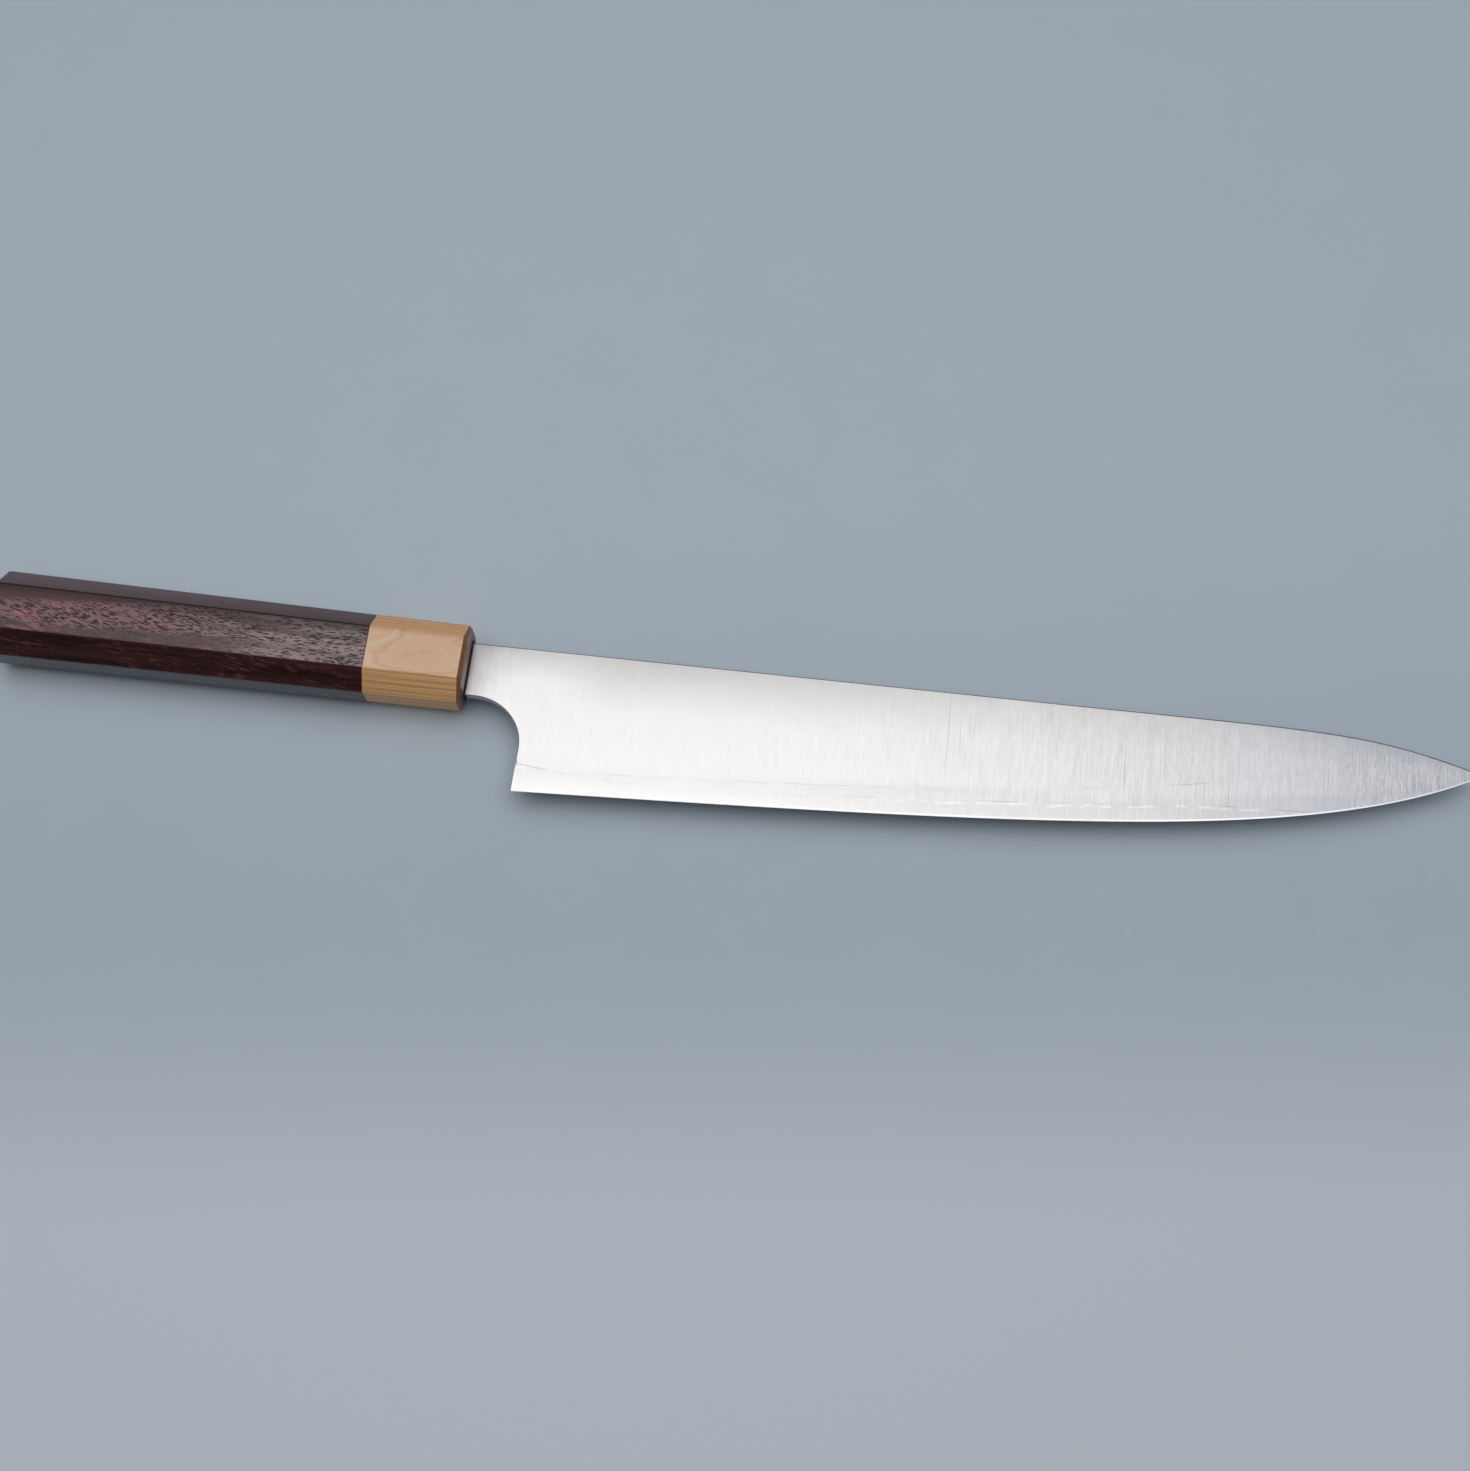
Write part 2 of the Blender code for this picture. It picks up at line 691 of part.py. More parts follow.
def build_neck_seal(parent, material):
    """Make the collar of resin that fills the ferrule's mouth round the neck."""
    outer = FIT_CLEARANCE + SEAL_WALL
    half_outer = SPINE_THICKNESS_NECK / 2 + outer
    low = (-SEAL_RECESS - SEAL_DEPTH, -NECK_BELOW_AXIS - outer, -half_outer)
    high = (-SEAL_RECESS, spine_height(0.0) + outer, half_outer)
    seal = add_object("neck_seal", block(low, high), material, parent, smooth=False)
    half_inner = SPINE_THICKNESS_NECK / 2 + FIT_CLEARANCE
    inner_low = (low[0] - SEAL_DEPTH, -NECK_BELOW_AXIS - FIT_CLEARANCE, -half_inner)
    inner_high = (high[0] + SEAL_DEPTH, spine_height(0.0) + FIT_CLEARANCE, half_inner)
    cut_away(seal, add_object("seal_opening", block(inner_low, inner_high), None, parent, smooth=False))
    return seal


def build_blade(parent, cladding_steel, core_steel):
    """Make the three layers of the blade, which run through into the tang."""
    stations = blade_stations()
    add_object("blade_core", build_core(stations), core_steel, parent)
    add_object("cladding_right", build_cladding(stations, 1), cladding_steel, parent)
    add_object("cladding_left", build_cladding(stations, -1), cladding_steel, parent)


def knife_frame():
    """Return the empty that sets the middle of the handle body's lower flat on the world origin."""
    frame = bpy.data.objects.new("knife_frame", None)
    bpy.context.scene.collection.objects.link(frame)
    share = -REST_X / HANDLE_LENGTH
    lower_flat = (MOUTH_THICKNESS + (BUTT_THICKNESS - MOUTH_THICKNESS) * share) / 2
    frame.location = (-REST_X, 0.0, lower_flat)
    return frame


def main():
    """Build the knife."""
    clear_scene()
    rosewood = make_material("rosewood", (0.075, 0.026, 0.021), 0.42, 0.0)
    boxwood = make_material("boxwood", (0.62, 0.39, 0.19), 0.45, 0.0)
    dowel_wood = make_material("dowel_wood", (0.55, 0.40, 0.24), 0.6, 0.0)
    resin = make_material("resin", (0.02, 0.015, 0.012), 0.5, 0.0)
    cladding_steel = make_material("cladding_steel", (0.66, 0.65, 0.64), 0.32, 1.0)
    core_steel = make_material("core_steel", (0.60, 0.60, 0.60), 0.24, 1.0)
    frame = knife_frame()
    build_handle_body(frame, rosewood)
    build_ferrule(frame, boxwood)
    build_dowel(frame, dowel_wood)
    build_neck_seal(frame, resin)
    build_blade(frame, cladding_steel, core_steel)


main()
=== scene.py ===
"""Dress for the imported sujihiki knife, with the board, the light and the camera.

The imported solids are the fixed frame. The handle body, ferrule and neck seal are modelled again
with fine edges, and the three steel layers are smoothed copies of their solids. X runs along the
knife to the tip, Y to the spine and Z out of the upper face. Lengths are in metres.
"""

import logging
import math
from collections.abc import Callable, Iterator
from contextlib import contextmanager
from dataclasses import astuple, dataclass
from enum import Enum
from functools import partialmethod
from typing import Any

import bmesh
import bpy
import numpy as np
from bpy.types import Material, Node, NodeSocket, Object
from mathutils import Matrix, Vector


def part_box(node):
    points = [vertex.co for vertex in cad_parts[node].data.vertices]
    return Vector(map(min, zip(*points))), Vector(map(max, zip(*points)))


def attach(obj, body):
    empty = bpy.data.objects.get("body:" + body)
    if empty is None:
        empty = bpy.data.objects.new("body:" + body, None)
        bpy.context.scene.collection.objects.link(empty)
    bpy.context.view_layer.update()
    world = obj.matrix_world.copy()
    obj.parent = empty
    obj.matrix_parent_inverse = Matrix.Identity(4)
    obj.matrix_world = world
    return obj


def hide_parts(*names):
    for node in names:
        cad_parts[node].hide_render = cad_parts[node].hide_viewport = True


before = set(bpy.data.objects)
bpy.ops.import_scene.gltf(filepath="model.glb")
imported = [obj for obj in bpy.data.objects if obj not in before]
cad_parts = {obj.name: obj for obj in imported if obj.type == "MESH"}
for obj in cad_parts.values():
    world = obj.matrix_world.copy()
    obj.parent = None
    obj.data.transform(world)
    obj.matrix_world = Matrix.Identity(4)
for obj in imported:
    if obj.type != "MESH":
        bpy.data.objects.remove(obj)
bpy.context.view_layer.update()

log = logging.getLogger("sujihiki")

MM = 0.001
COINCIDENT = 0.001 * MM
SHARP_ANGLE = math.radians(40.0)
FLAT_ENOUGH = math.radians(8.0)
ANY_SHAPE = math.radians(180.0)
BODY = "root"

Colour = tuple[float, float, float]
Pair = tuple[float, float]


class Element(Enum):
    """What a selection in edit mode picks."""

    VERTEX = "VERT"
    EDGE = "EDGE"
    FACE = "FACE"


class Layer(Enum):
    """A layer of the blade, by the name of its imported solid."""

    CORE = "blade_core"
    RIGHT = "cladding_right"
    LEFT = "cladding_left"


class Rim(Enum):
    """How an end of the handle meets its facets, by the segments of its bevel."""

    CHAMFERED = 1
    ROUNDED = 4


class LampKind(Enum):
    """A kind of lamp, by Blender's name for it."""

    AREA = "AREA"
    SUN = "SUN"


# Modelling by operators


def make_active(item: Object) -> None:
    """Select one object alone and make it the active one."""
    bpy.ops.object.select_all(action="DESELECT")
    item.select_set(True)
    bpy.context.view_layer.objects.active = item


@contextmanager
def editing(item: Object) -> Iterator[None]:
    """Hold an object in edit mode."""
    make_active(item)
    bpy.ops.object.mode_set(mode="EDIT")
    try:
        yield
    finally:
        bpy.ops.object.mode_set(mode="OBJECT")


def pick(item: Object, element: Element, wanted: Callable[[Any], bool]) -> None:
    """Select the parts of the mesh in edit mode that pass a test.

    Args:
        item: The object in edit mode.
        element: Which kind of part to select.
        wanted: The test that each vertex, edge or face gets.
    """
    bpy.ops.mesh.select_mode(type=element.value)
    bpy.ops.mesh.select_all(action="DESELECT")
    mesh = bmesh.from_edit_mesh(item.data)
    kinds = {Element.VERTEX: mesh.verts, Element.EDGE: mesh.edges, Element.FACE: mesh.faces}
    for part in kinds[element]:
        if wanted(part):
            part.select_set(True)
    mesh.select_flush_mode()
    bmesh.update_edit_mesh(item.data)


def name_new(name: str) -> Object:
    """Name the object that was just added, and put its place into its mesh."""
    item = bpy.context.active_object
    item.name = name
    item.data.name = name
    bpy.ops.object.transform_apply(location=True, rotation=True, scale=True)
    return item


def start_block(name: str, low: Vector, high: Vector) -> Object:
    """Add a block between two corners.

    Args:
        name: The object's name.
        low: Its lowest corner.
        high: Its highest corner.

    Returns:
        The block, with its place in its mesh.
    """
    bpy.ops.mesh.primitive_cube_add(size=1.0, location=(low + high) / 2, scale=high - low)
    return name_new(name)


def start_rod(name: str, radius: float, back: Vector, length: float, sides: int) -> Object:
    """Add a rod that runs forward along X.

    Args:
        name: The object's name.
        radius: The rod's radius.
        back: The middle of its back end.
        length: Its length.
        sides: How many sides it has.

    Returns:
        The rod, with its place in its mesh.
    """
    middle = back + Vector((length / 2, 0.0, 0.0))
    bpy.ops.mesh.primitive_cylinder_add(
        vertices=sides,
        radius=radius,
        depth=length,
        location=middle,
        rotation=(0.0, math.pi / 2, 0.0),
    )
    return name_new(name)


def bevel_picked(width: float, segments: int) -> None:
    """Bevel the selected edges with round bevels."""
    bpy.ops.mesh.bevel(
        offset_type="OFFSET", offset=width, segments=segments, profile=0.5, affect="EDGES"
    )


def cut(item: Object, cutter: Object) -> None:
    """Take a cutter's shape out of a piece, and remove the cutter."""
    make_active(item)
    modifier = item.modifiers.new("cut", "BOOLEAN")
    modifier.operation = "DIFFERENCE"
    modifier.solver = "EXACT"
    modifier.object = cutter
    bpy.ops.object.modifier_apply(modifier=modifier.name)
    bpy.data.objects.remove(cutter)


def finish_piece(item: Object, material: Material, replaced: str) -> None:
    """Smooth a piece, paint it and hang it on the frame.

    Args:
        item: The finished piece.
        material: Its material.
        replaced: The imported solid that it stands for.
    """
    if not item.data.has_custom_normals:
        make_active(item)
        bpy.ops.object.shade_smooth_by_angle(angle=SHARP_ANGLE)
    item.data.materials.clear()
    item.data.materials.append(material)
    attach(item, BODY)
    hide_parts(replaced)
    log.info("%s stands for %s: %d faces", item.name, replaced, len(item.data.polygons))


# Materials


@dataclass(frozen=True)
class Grain:
    """Soft noise, stretched along the knife's axes.

    Its scale is how many features a metre holds along each axis. Its detail is how many finer
    layers it has, and its roughness is how strong they are.
    """

    scale: tuple[float, float, float]
    detail: float = 2.0
    roughness: float = 0.5


@dataclass(frozen=True, eq=False)
class Signal:
    """A value that a material works out at each spot. It takes part in sums as a number does."""

    graph: "Graph"
    socket: NodeSocket

    def reckon(self, operation: str, other: "Value" = 0.0) -> "Signal":
        """Return the result of a Math node on this value."""
        return self.graph.calculate(operation, self, other)

    __add__ = partialmethod(reckon, "ADD")
    __sub__ = partialmethod(reckon, "SUBTRACT")
    __mul__ = partialmethod(reckon, "MULTIPLY")
    __truediv__ = partialmethod(reckon, "DIVIDE")
    __abs__ = partialmethod(reckon, "ABSOLUTE")
    at_least = partialmethod(reckon, "MAXIMUM")

    def __rsub__(self, other: float) -> "Signal":
        """Return a number less this value."""
        return self.graph.calculate("SUBTRACT", other, self)

    def diagonal(self, other: "Signal") -> "Signal":
        """Return the diagonal of a rectangle with the two as sides."""
        return (self * self + other * other).reckon("SQRT")

    def grain(self, grain: Grain) -> "Signal":
        """Return soft noise from 0 to 1 over this place, stretched to a grain."""
        stretched = self.graph.stretch(self, grain.scale)
        return self.graph.noise(stretched, grain.detail, grain.roughness)

    def span(
        self, low: "Value", high: float, to_low: float = 0.0, to_high: float = 1.0
    ) -> "Signal":
        """Return the value eased from one range to another and held at its ends."""
        names = ("Value", "From Min", "From Max", "To Min", "To Max")
        feeds = dict(zip(names, (self, low, high, to_low, to_high)))
        node = self.graph.add("ShaderNodeMapRange", feeds, interpolation_type="SMOOTHSTEP")
        return Signal(self.graph, node.outputs[0])


Value = Signal | float | tuple[float, ...]


class Graph:
    """A material's node tree while it is being written."""

    def __init__(self, name: str) -> None:
        """Start a material with a Principled shader."""
        self.material = bpy.data.materials.new(name)
        self.material.use_nodes = True
        self.tree = self.material.node_tree
        self.shader = self.tree.nodes["Principled BSDF"]

    def feed(self, socket: NodeSocket, value: Value) -> None:
        """Link a socket to a signal, or set it to a number or a colour."""
        if isinstance(value, Signal):
            self.tree.links.new(value.socket, socket)
        elif isinstance(value, tuple) and socket.type == "RGBA":
            socket.default_value = (*value, 1.0)
        else:
            socket.default_value = value

    def add(self, kind: str, feeds: dict[Any, Value] | None = None, **settings: Any) -> Node:
        """Add a node, give it its settings and feed its sockets."""
        node = self.tree.nodes.new(kind)
        for key, value in settings.items():
            setattr(node, key, value)
        for key, value in (feeds or {}).items():
            self.feed(node.inputs[key], value)
        return node

    def place(self) -> Signal:
        """Return the piece's own coordinates."""
        return Signal(self, self.add("ShaderNodeTexCoord").outputs["Object"])

    def normal(self) -> Signal:
        """Return the direction that the surface faces."""
        return Signal(self, self.add("ShaderNodeTexCoord").outputs["Normal"])

    def attribute(self, name: str) -> Signal:
        """Return a vector that is written on the mesh."""
        return Signal(self, self.add("ShaderNodeAttribute", attribute_name=name).outputs["Vector"])

    def split(self, vector: Signal) -> tuple[Signal, ...]:
        """Return a vector's three parts."""
        node = self.add("ShaderNodeSeparateXYZ", {0: vector})
        return tuple(Signal(self, socket) for socket in node.outputs)

    def join(self, x: Value, y: Value, z: Value) -> Signal:
        """Return a vector made of three parts."""
        return Signal(self, self.add("ShaderNodeCombineXYZ", {0: x, 1: y, 2: z}).outputs[0])

    def stretch(self, vector: Signal, scale: tuple[float, float, float]) -> Signal:
        """Return a vector scaled along each axis."""
        node = self.add("ShaderNodeMapping", {"Vector": vector, "Scale": scale})
        return Signal(self, node.outputs[0])

    def calculate(self, operation: str, first: Value, second: Value = 0.0) -> Signal:
        """Return the result of a Math node."""
        node = self.add("ShaderNodeMath", {0: first, 1: second}, operation=operation)
        return Signal(self, node.outputs[0])

    def noise(self, vector: Signal, detail: float = 2.0, roughness: float = 0.5) -> Signal:
        """Return soft noise from 0 to 1 with one feature to a unit."""
        feeds = {"Vector": vector, "Scale": 1.0, "Detail": detail, "Roughness": roughness}
        return Signal(self, self.add("ShaderNodeTexNoise", feeds).outputs["Fac"])

    def cells(self, vector: Signal) -> Signal:
        """Return the distance to the nearest of scattered points, one to a unit cube."""
        node = self.add("ShaderNodeTexVoronoi", {"Vector": vector, "Scale": 1.0})
        return Signal(self, node.outputs["Distance"])

    def relief(self, height: Signal, depth: float, strength: float) -> None:
        """Give the shader a bump from a height in 0 to 1 that stands for a depth in metres."""
        feeds = {"Strength": strength, "Distance": depth, "Height": height}
        node = self.add("ShaderNodeBump", feeds)
        self.tree.links.new(node.outputs[0], self.shader.inputs["Normal"])

    def dress(self, colour: Value, roughness: Value, gloss: float = 0.5) -> None:
        """Give the shader its colour, roughness and gloss, which is 0.5 for plain varnish."""
        self.feed(self.shader.inputs["Base Color"], colour)
        self.feed(self.shader.inputs["Roughness"], roughness)
        self.shader.inputs["Specular IOR Level"].default_value = gloss

    def rings(self, heart: Vector, wander: float, ring: float, drift: float) -> Signal:
        """Return a tree's growth rings as lines that run along X.

        Args:
            heart: The middle of the tree, as a point of the YZ plane.
            wander: How far the rings stray from a true circle.
            ring: The usual width of a ring.
            drift: The length along X over which a ring changes.

        Returns:
            A value from 0 to 1 that rises and falls from ring to ring.
        """
        x, y, z = self.split(self.place())
        radius = (y - heart.y).diagonal(z - heart.z)
        slow = self.place().grain(Grain((1 / drift, 3 / drift, 3 / drift), detail=1.0))
        count = (radius + (slow - 0.5) * (2 * wander)) / ring
        return self.noise(self.join(x / drift, count, 0.0), detail=3.0, roughness=0.6)


def mix(share: Signal, first: Value, second: Value) -> Signal:
    """Return two colours mixed by a share of the second."""
    graph = share.graph
    node = graph.add("ShaderNodeMix", {"Factor": share}, data_type="RGBA")
    colours = [socket for socket in node.inputs if socket.type == "RGBA"]
    graph.feed(colours[0], first)
    graph.feed(colours[1], second)
    return Signal(graph, next(socket for socket in node.outputs if socket.type == "RGBA"))


@dataclass(frozen=True)
class Rosewood:
    """Oiled rosewood: mauve flats full of dark open pores, dark chamfers with thin red streaks, and
    a few salmon patches toward the butt. Along the far border of the flats it is smooth. Painted
    sheen lightens the flats, most toward the ferrule, and the far chamfer; a painted reflection of
    the board greys the near side facet.

    A layer of pores is the length and width of a cell, and how far its pore reaches.
    """

    name: str = "rosewood_oiled"
    dark: Colour = (0.022, 0.0060, 0.0060)
    brown: Colour = (0.058, 0.0180, 0.0170)
    # mauve is the wood's colour lightened with painted sheen; the next colour is painted sheen,
    # paler and greyer, toward the ferrule
    mauve: Colour = (0.315, 0.175, 0.178)
    painted_sheen_lilac: Colour = (0.405, 0.290, 0.300)
    shade: Colour = (0.170, 0.094, 0.097)
    plum: Colour = (0.100, 0.062, 0.072)
    salmon: Colour = (0.570, 0.205, 0.230)
    red: Colour = (0.190, 0.062, 0.056)
    # the far chamfer's colour, lightened with painted sheen
    far: Colour = (0.120, 0.064, 0.066)
    border: Colour = (0.128, 0.056, 0.060)
    # painted reflection of the pale board, greying the near side facet
    side: Colour = (0.140, 0.130, 0.128)
    pore: Colour = (0.014, 0.006, 0.006)
    bands: Grain = Grain((24.0, 330.0, 330.0), 3.0, 0.6)
    fibre: Grain = Grain((150.0, 2600.0, 2600.0))
    patches: Grain = Grain((85.0, 420.0, 300.0), 3.0, 0.6)
    streak: Grain = Grain((70.0, 1500.0, 1500.0), 3.0, 0.6)
    streak_crowd: Grain = Grain((45.0, 300.0, 300.0), 1.0)
    pore_crowd: Grain = Grain((60.0, 190.0, 190.0), 1.0)
    pore_layers: tuple[tuple[float, float, float], ...] = (
        (3.0 * MM, 0.46 * MM, 0.42),
        (2.0 * MM, 0.40 * MM, 0.38),
    )
    heart: Vector = Vector((0.0, 0.004, -0.055))
    level_x: float = 35.0 * MM
    grain_bow: float = 1.6
    butt_x: float = -53.7 * MM
    pore_start_at_butt: float = 2.4 * MM
    pore_start: float = 6.2 * MM
    streak_lean: float = 0.22
    gloss: float = 0.45

    def make(self) -> Material:
        """Return the material."""
        graph = Graph(self.name)
        x, y, z = graph.split(graph.place())
        away = self.level_x - x
        bowed = graph.join(x, y - away * away * self.grain_bow, z)
        bands = bowed.grain(self.bands)
        fibre = bowed.grain(self.fibre)

        # The flats: mauve bands lightened with painted sheen, which grows paler and greyer toward
        # the ferrule; smooth at the far border, plum and salmon at the near one.
        # painted sheen: the flats grow paler and greyer toward the ferrule
        mauve = mix(x.span(-0.010, 0.034), self.mauve, self.painted_sheen_lilac)
        face = mix(bands.span(0.34, 0.54), self.shade, mauve)
        face = mix(fibre.span(0.42, 0.75, 0.0, 0.35), face, self.shade)
        wander = (bands - 0.5) * (4.5 * MM)
        start = x.span(self.butt_x, 0.010, self.pore_start_at_butt, self.pore_start)
        smooth = (y - start + wander).span(-0.8 * MM, 0.6 * MM)
        face = mix(smooth * 0.90, face, self.border)
        below = x.span(-0.040, 0.012, -4.3 * MM, -2.3 * MM) - (y + wander * 0.6)
        low = below.span(-0.6 * MM, 0.8 * MM) * x.span(0.026, 0.010)
        face = mix(low * 0.75, face, self.plum)
        red_part = x.span(0.008, -0.028).at_least(low * 0.7) * (1.0 - smooth)
        salmon = bowed.grain(self.patches).span(0.54, 0.70, 0.0, 0.88)
        face = mix(salmon * red_part, face, self.salmon)

        # The other facets, by the way they face, and a dark line along the ridge of the far one.
        # The far chamfer is lightened with painted sheen, and the near side facet is greyed with a
        # painted reflection of the board.
        _, facing_y, facing_z = graph.split(graph.normal())
        flat = abs(facing_z).span(0.80, 0.95)
        rings = graph.rings(self.heart, wander=1.5 * MM, ring=0.9 * MM, drift=60 * MM)
        chamfer = mix(rings.span(0.35, 0.62), self.dark, self.brown)
        chamfer = mix(self.streaks(x, y, z), chamfer, self.red)
        colour = mix(flat, chamfer, face)
        # painted sheen lightens the far chamfer
        far = mix(bands.span(0.35, 0.65, 0.0, 0.30), self.far, self.brown)
        colour = mix(facing_y.span(0.12, 0.35, 0.0, 0.95), colour, far)
        ridge = facing_y.span(0.02, 0.10) * facing_y.span(0.66, 0.50)
        colour = mix(ridge * 0.92, colour, self.dark)
        # painted reflection of the board on the near side facet
        colour = mix(facing_y.span(-0.80, -0.95, 0.0, 0.8), colour, self.side)

        closed = smooth.at_least(low * 0.62)
        pores = self.pores(bowed) * (1.0 - closed) * flat
        colour = mix(pores * 0.95, colour, self.pore)
        graph.dress(colour, fibre.span(0.2, 0.8, 0.26, 0.36) + pores * 0.15, self.gloss)
        graph.relief(fibre * 0.20 - pores, depth=0.02 * MM, strength=0.6)
        return graph.material

    def streaks(self, x: Signal, y: Signal, z: Signal) -> Signal:
        """Return thin streaks that lean across the chamfers.

        Args:
            x: Place along the handle.
            y: Place toward the spine.
            z: Height.

        Returns:
            A share from 0 to 1.
        """
        leaning = x.graph.join(x, y + x * self.streak_lean, z)
        thin = leaning.grain(self.streak).span(0.50, 0.66, 0.0, 0.75)
        return thin * leaning.grain(self.streak_crowd).span(0.32, 0.62)

    def pores(self, bowed: Signal) -> Signal:
        """Return long and short dashes along the grain.

        Args:
            bowed: Place along the bowed grain.

        Returns:
            The share of pore from 0 to 1.
        """
        graph = bowed.graph
        x = graph.split(bowed)[0]
        crowd = graph.place().grain(self.pore_crowd) - x.span(0.010, 0.048, 0.0, 0.04)
        shares = []
        for length, width, widest in self.pore_layers:
            spots = graph.cells(graph.stretch(bowed, (1 / length, 1 / width, 1 / width)))
            shares.append((crowd.span(0.32, 0.56, 0.28, widest) - spots).span(0.0, 0.06))
        long, short = shares
        return long.at_least(short)


@dataclass(frozen=True)
class Boxwood:
    """Waxed boxwood: smooth peach flats with a soft swirl, golden lines on the other facets, a
    front rim chamfer darkened with painted shade, and a grey-brown end with painted light and shade
    round the neck.
    """

    name: str = "boxwood_waxed"
    pale: Colour = (0.96, 0.635, 0.425)
    gold: Colour = (1.0, 0.62, 0.305)
    line: Colour = (0.64, 0.295, 0.108)
    arc: Colour = (0.80, 0.44, 0.215)
    blush: Colour = (1.0, 0.715, 0.51)
    # painted shade on the front rim chamfer
    rim: Colour = (0.270, 0.115, 0.050)
    end: Colour = (0.55, 0.32, 0.22)
    end_line: Colour = (0.36, 0.19, 0.13)
    # painted light and shade on the end face: a highlight strip, shade round the neck and a shadow
    # under it
    end_painted_highlight: Colour = (0.95, 0.78, 0.72)
    end_painted_shade: Colour = (0.10, 0.055, 0.075)
    end_painted_shadow: Colour = (0.13, 0.075, 0.040)
    fibre: Grain = Grain((160.0, 3200.0, 3200.0))
    specks: Grain = Grain((300.0, 2400.0, 2400.0), 2.0, 0.6)
    warp: Grain = Grain((60.0, 150.0, 50.0), 2.0, 0.4)
    heart: Vector = Vector((0.0, 0.001, -0.022))
    swirl_heart: Vector = Vector((0.0708, 0.0005, 0.0))
    swirl_stretch: float = 2.3
    swirl_ovals: float = 430.0
    swirl_warp: float = 6.0
    far_border: Pair = (4.4 * MM, 6.5 * MM)
    near_border: Pair = (-6.0 * MM, -6.35 * MM)
    axis_z: float = 9.48 * MM
    neck_low: float = -8.4 * MM

    def make(self) -> Material:
        """Return the material."""
        graph = Graph(self.name)
        place = graph.place()
        x, y, z = graph.split(place)
        facing_x, _, facing_z = graph.split(graph.normal())

        rings = graph.rings(self.heart, wander=0.22 * MM, ring=0.32 * MM, drift=90 * MM)
        lined = mix(rings.span(0.36, 0.64, 0.06, 0.84), self.gold, self.line)
        swirl = self.swirl(place, x, y)
        plain = mix(swirl.span(0.43, 0.74, 0.0, 0.70), self.pale, self.arc)
        plain = mix(swirl.span(0.48, 0.32), plain, self.blush)
        uneven = y + (swirl - 0.5) * (1.5 * MM)
        plain = mix(uneven.span(*self.far_border, 0.0, 0.58), plain, self.line)
        plain = mix(y.span(*self.near_border, 0.0, 0.5), plain, self.line)
        colour = mix(abs(facing_z).span(0.75, 0.95), lined, plain)
        # painted shade darkens the front rim chamfer
        rim = facing_x.span(0.35, 0.60) * facing_x.span(0.86, 0.80)
        colour = mix(rim, colour, self.rim)

        # The end face, with painted light and shade: a painted highlight in a strip above the neck,
        # painted shade round the neck and a painted shadow under it.
        specks = place.grain(self.specks)
        end = mix(specks.span(0.35, 0.7), self.end, self.end_line)
        height = abs(z - self.axis_z)
        strip = height.span(8.0 * MM, 6.0 * MM) * y.span(2.5 * MM, -3.0 * MM)
        end = mix(strip * 0.65, end, self.end_painted_highlight)
        end = mix(height.span(4.4 * MM, 2.6 * MM, 0.0, 0.85), end, self.end_painted_shade)
        end = mix(y.span(self.neck_low + MM, self.neck_low), end, self.end_painted_shadow)
        colour = mix(abs(facing_x).span(0.80, 0.86), colour, end)

        fibre = place.grain(self.fibre)
        colour = mix(fibre.span(0.3, 0.7, 0.0, 0.10), colour, self.line)
        graph.dress(colour, fibre.span(0.2, 0.8, 0.36, 0.46))
        graph.relief(fibre + rings, depth=0.012 * MM, strength=0.6)
        return graph.material

    def swirl(self, place: Signal, x: Signal, y: Signal) -> Signal:
        """Return soft uneven ovals round the heart of the swirl.

        Args:
            place: The piece's own coordinates.
            x: Place along the handle.
            y: Place toward the spine.

        Returns:
            A value from 0 to 1.
        """
        graph = place.graph
        along = (x - self.swirl_heart.x) / self.swirl_stretch
        oval = along.diagonal(y - self.swirl_heart.y) * self.swirl_ovals
        warp = place.grain(self.warp) * self.swirl_warp
        return graph.noise(graph.join(oval + warp, 0.0, 0.0))


@dataclass(frozen=True)
class DowelWood:
    """Plain pale wood with straight grain, for the rod inside the handle."""

    name: str = "dowel_wood_plain"
    pale: Colour = (0.62, 0.45, 0.27)
    line: Colour = (0.44, 0.28, 0.14)
    fibre: Grain = Grain((90.0, 2200.0, 2200.0))
    heart: Vector = Vector((0.0, 0.030, 0.0))

    def make(self) -> Material:
        """Return the material."""
        graph = Graph(self.name)
        rings = graph.rings(self.heart, wander=0.5 * MM, ring=0.8 * MM, drift=60 * MM)
        fibre = graph.place().grain(self.fibre)
        colour = mix(rings.span(0.35, 0.65), self.pale, self.line)
        graph.dress(colour, fibre.span(0.2, 0.8, 0.55, 0.70))
        graph.relief(fibre, depth=0.02 * MM, strength=0.6)
        return graph.material


@dataclass(frozen=True)
class NeckResin:
    """Dark resin, a little uneven."""

    name: str = "neck_resin"
    dark: Colour = (0.036, 0.019, 0.029)
    warm: Colour = (0.105, 0.062, 0.082)
    lumps: Grain = Grain((900.0, 900.0, 900.0), 3.0, 0.6)
    gloss: float = 0.18

    def make(self) -> Material:
        """Return the material."""
        graph = Graph(self.name)
        lumps = graph.place().grain(self.lumps)
        colour = mix(lumps.span(0.40, 0.75), self.dark, self.warm)
        graph.dress(colour, lumps.span(0.3, 0.7, 0.35, 0.60), self.gloss)
        graph.relief(lumps, depth=0.05 * MM, strength=0.7)
        return graph.material


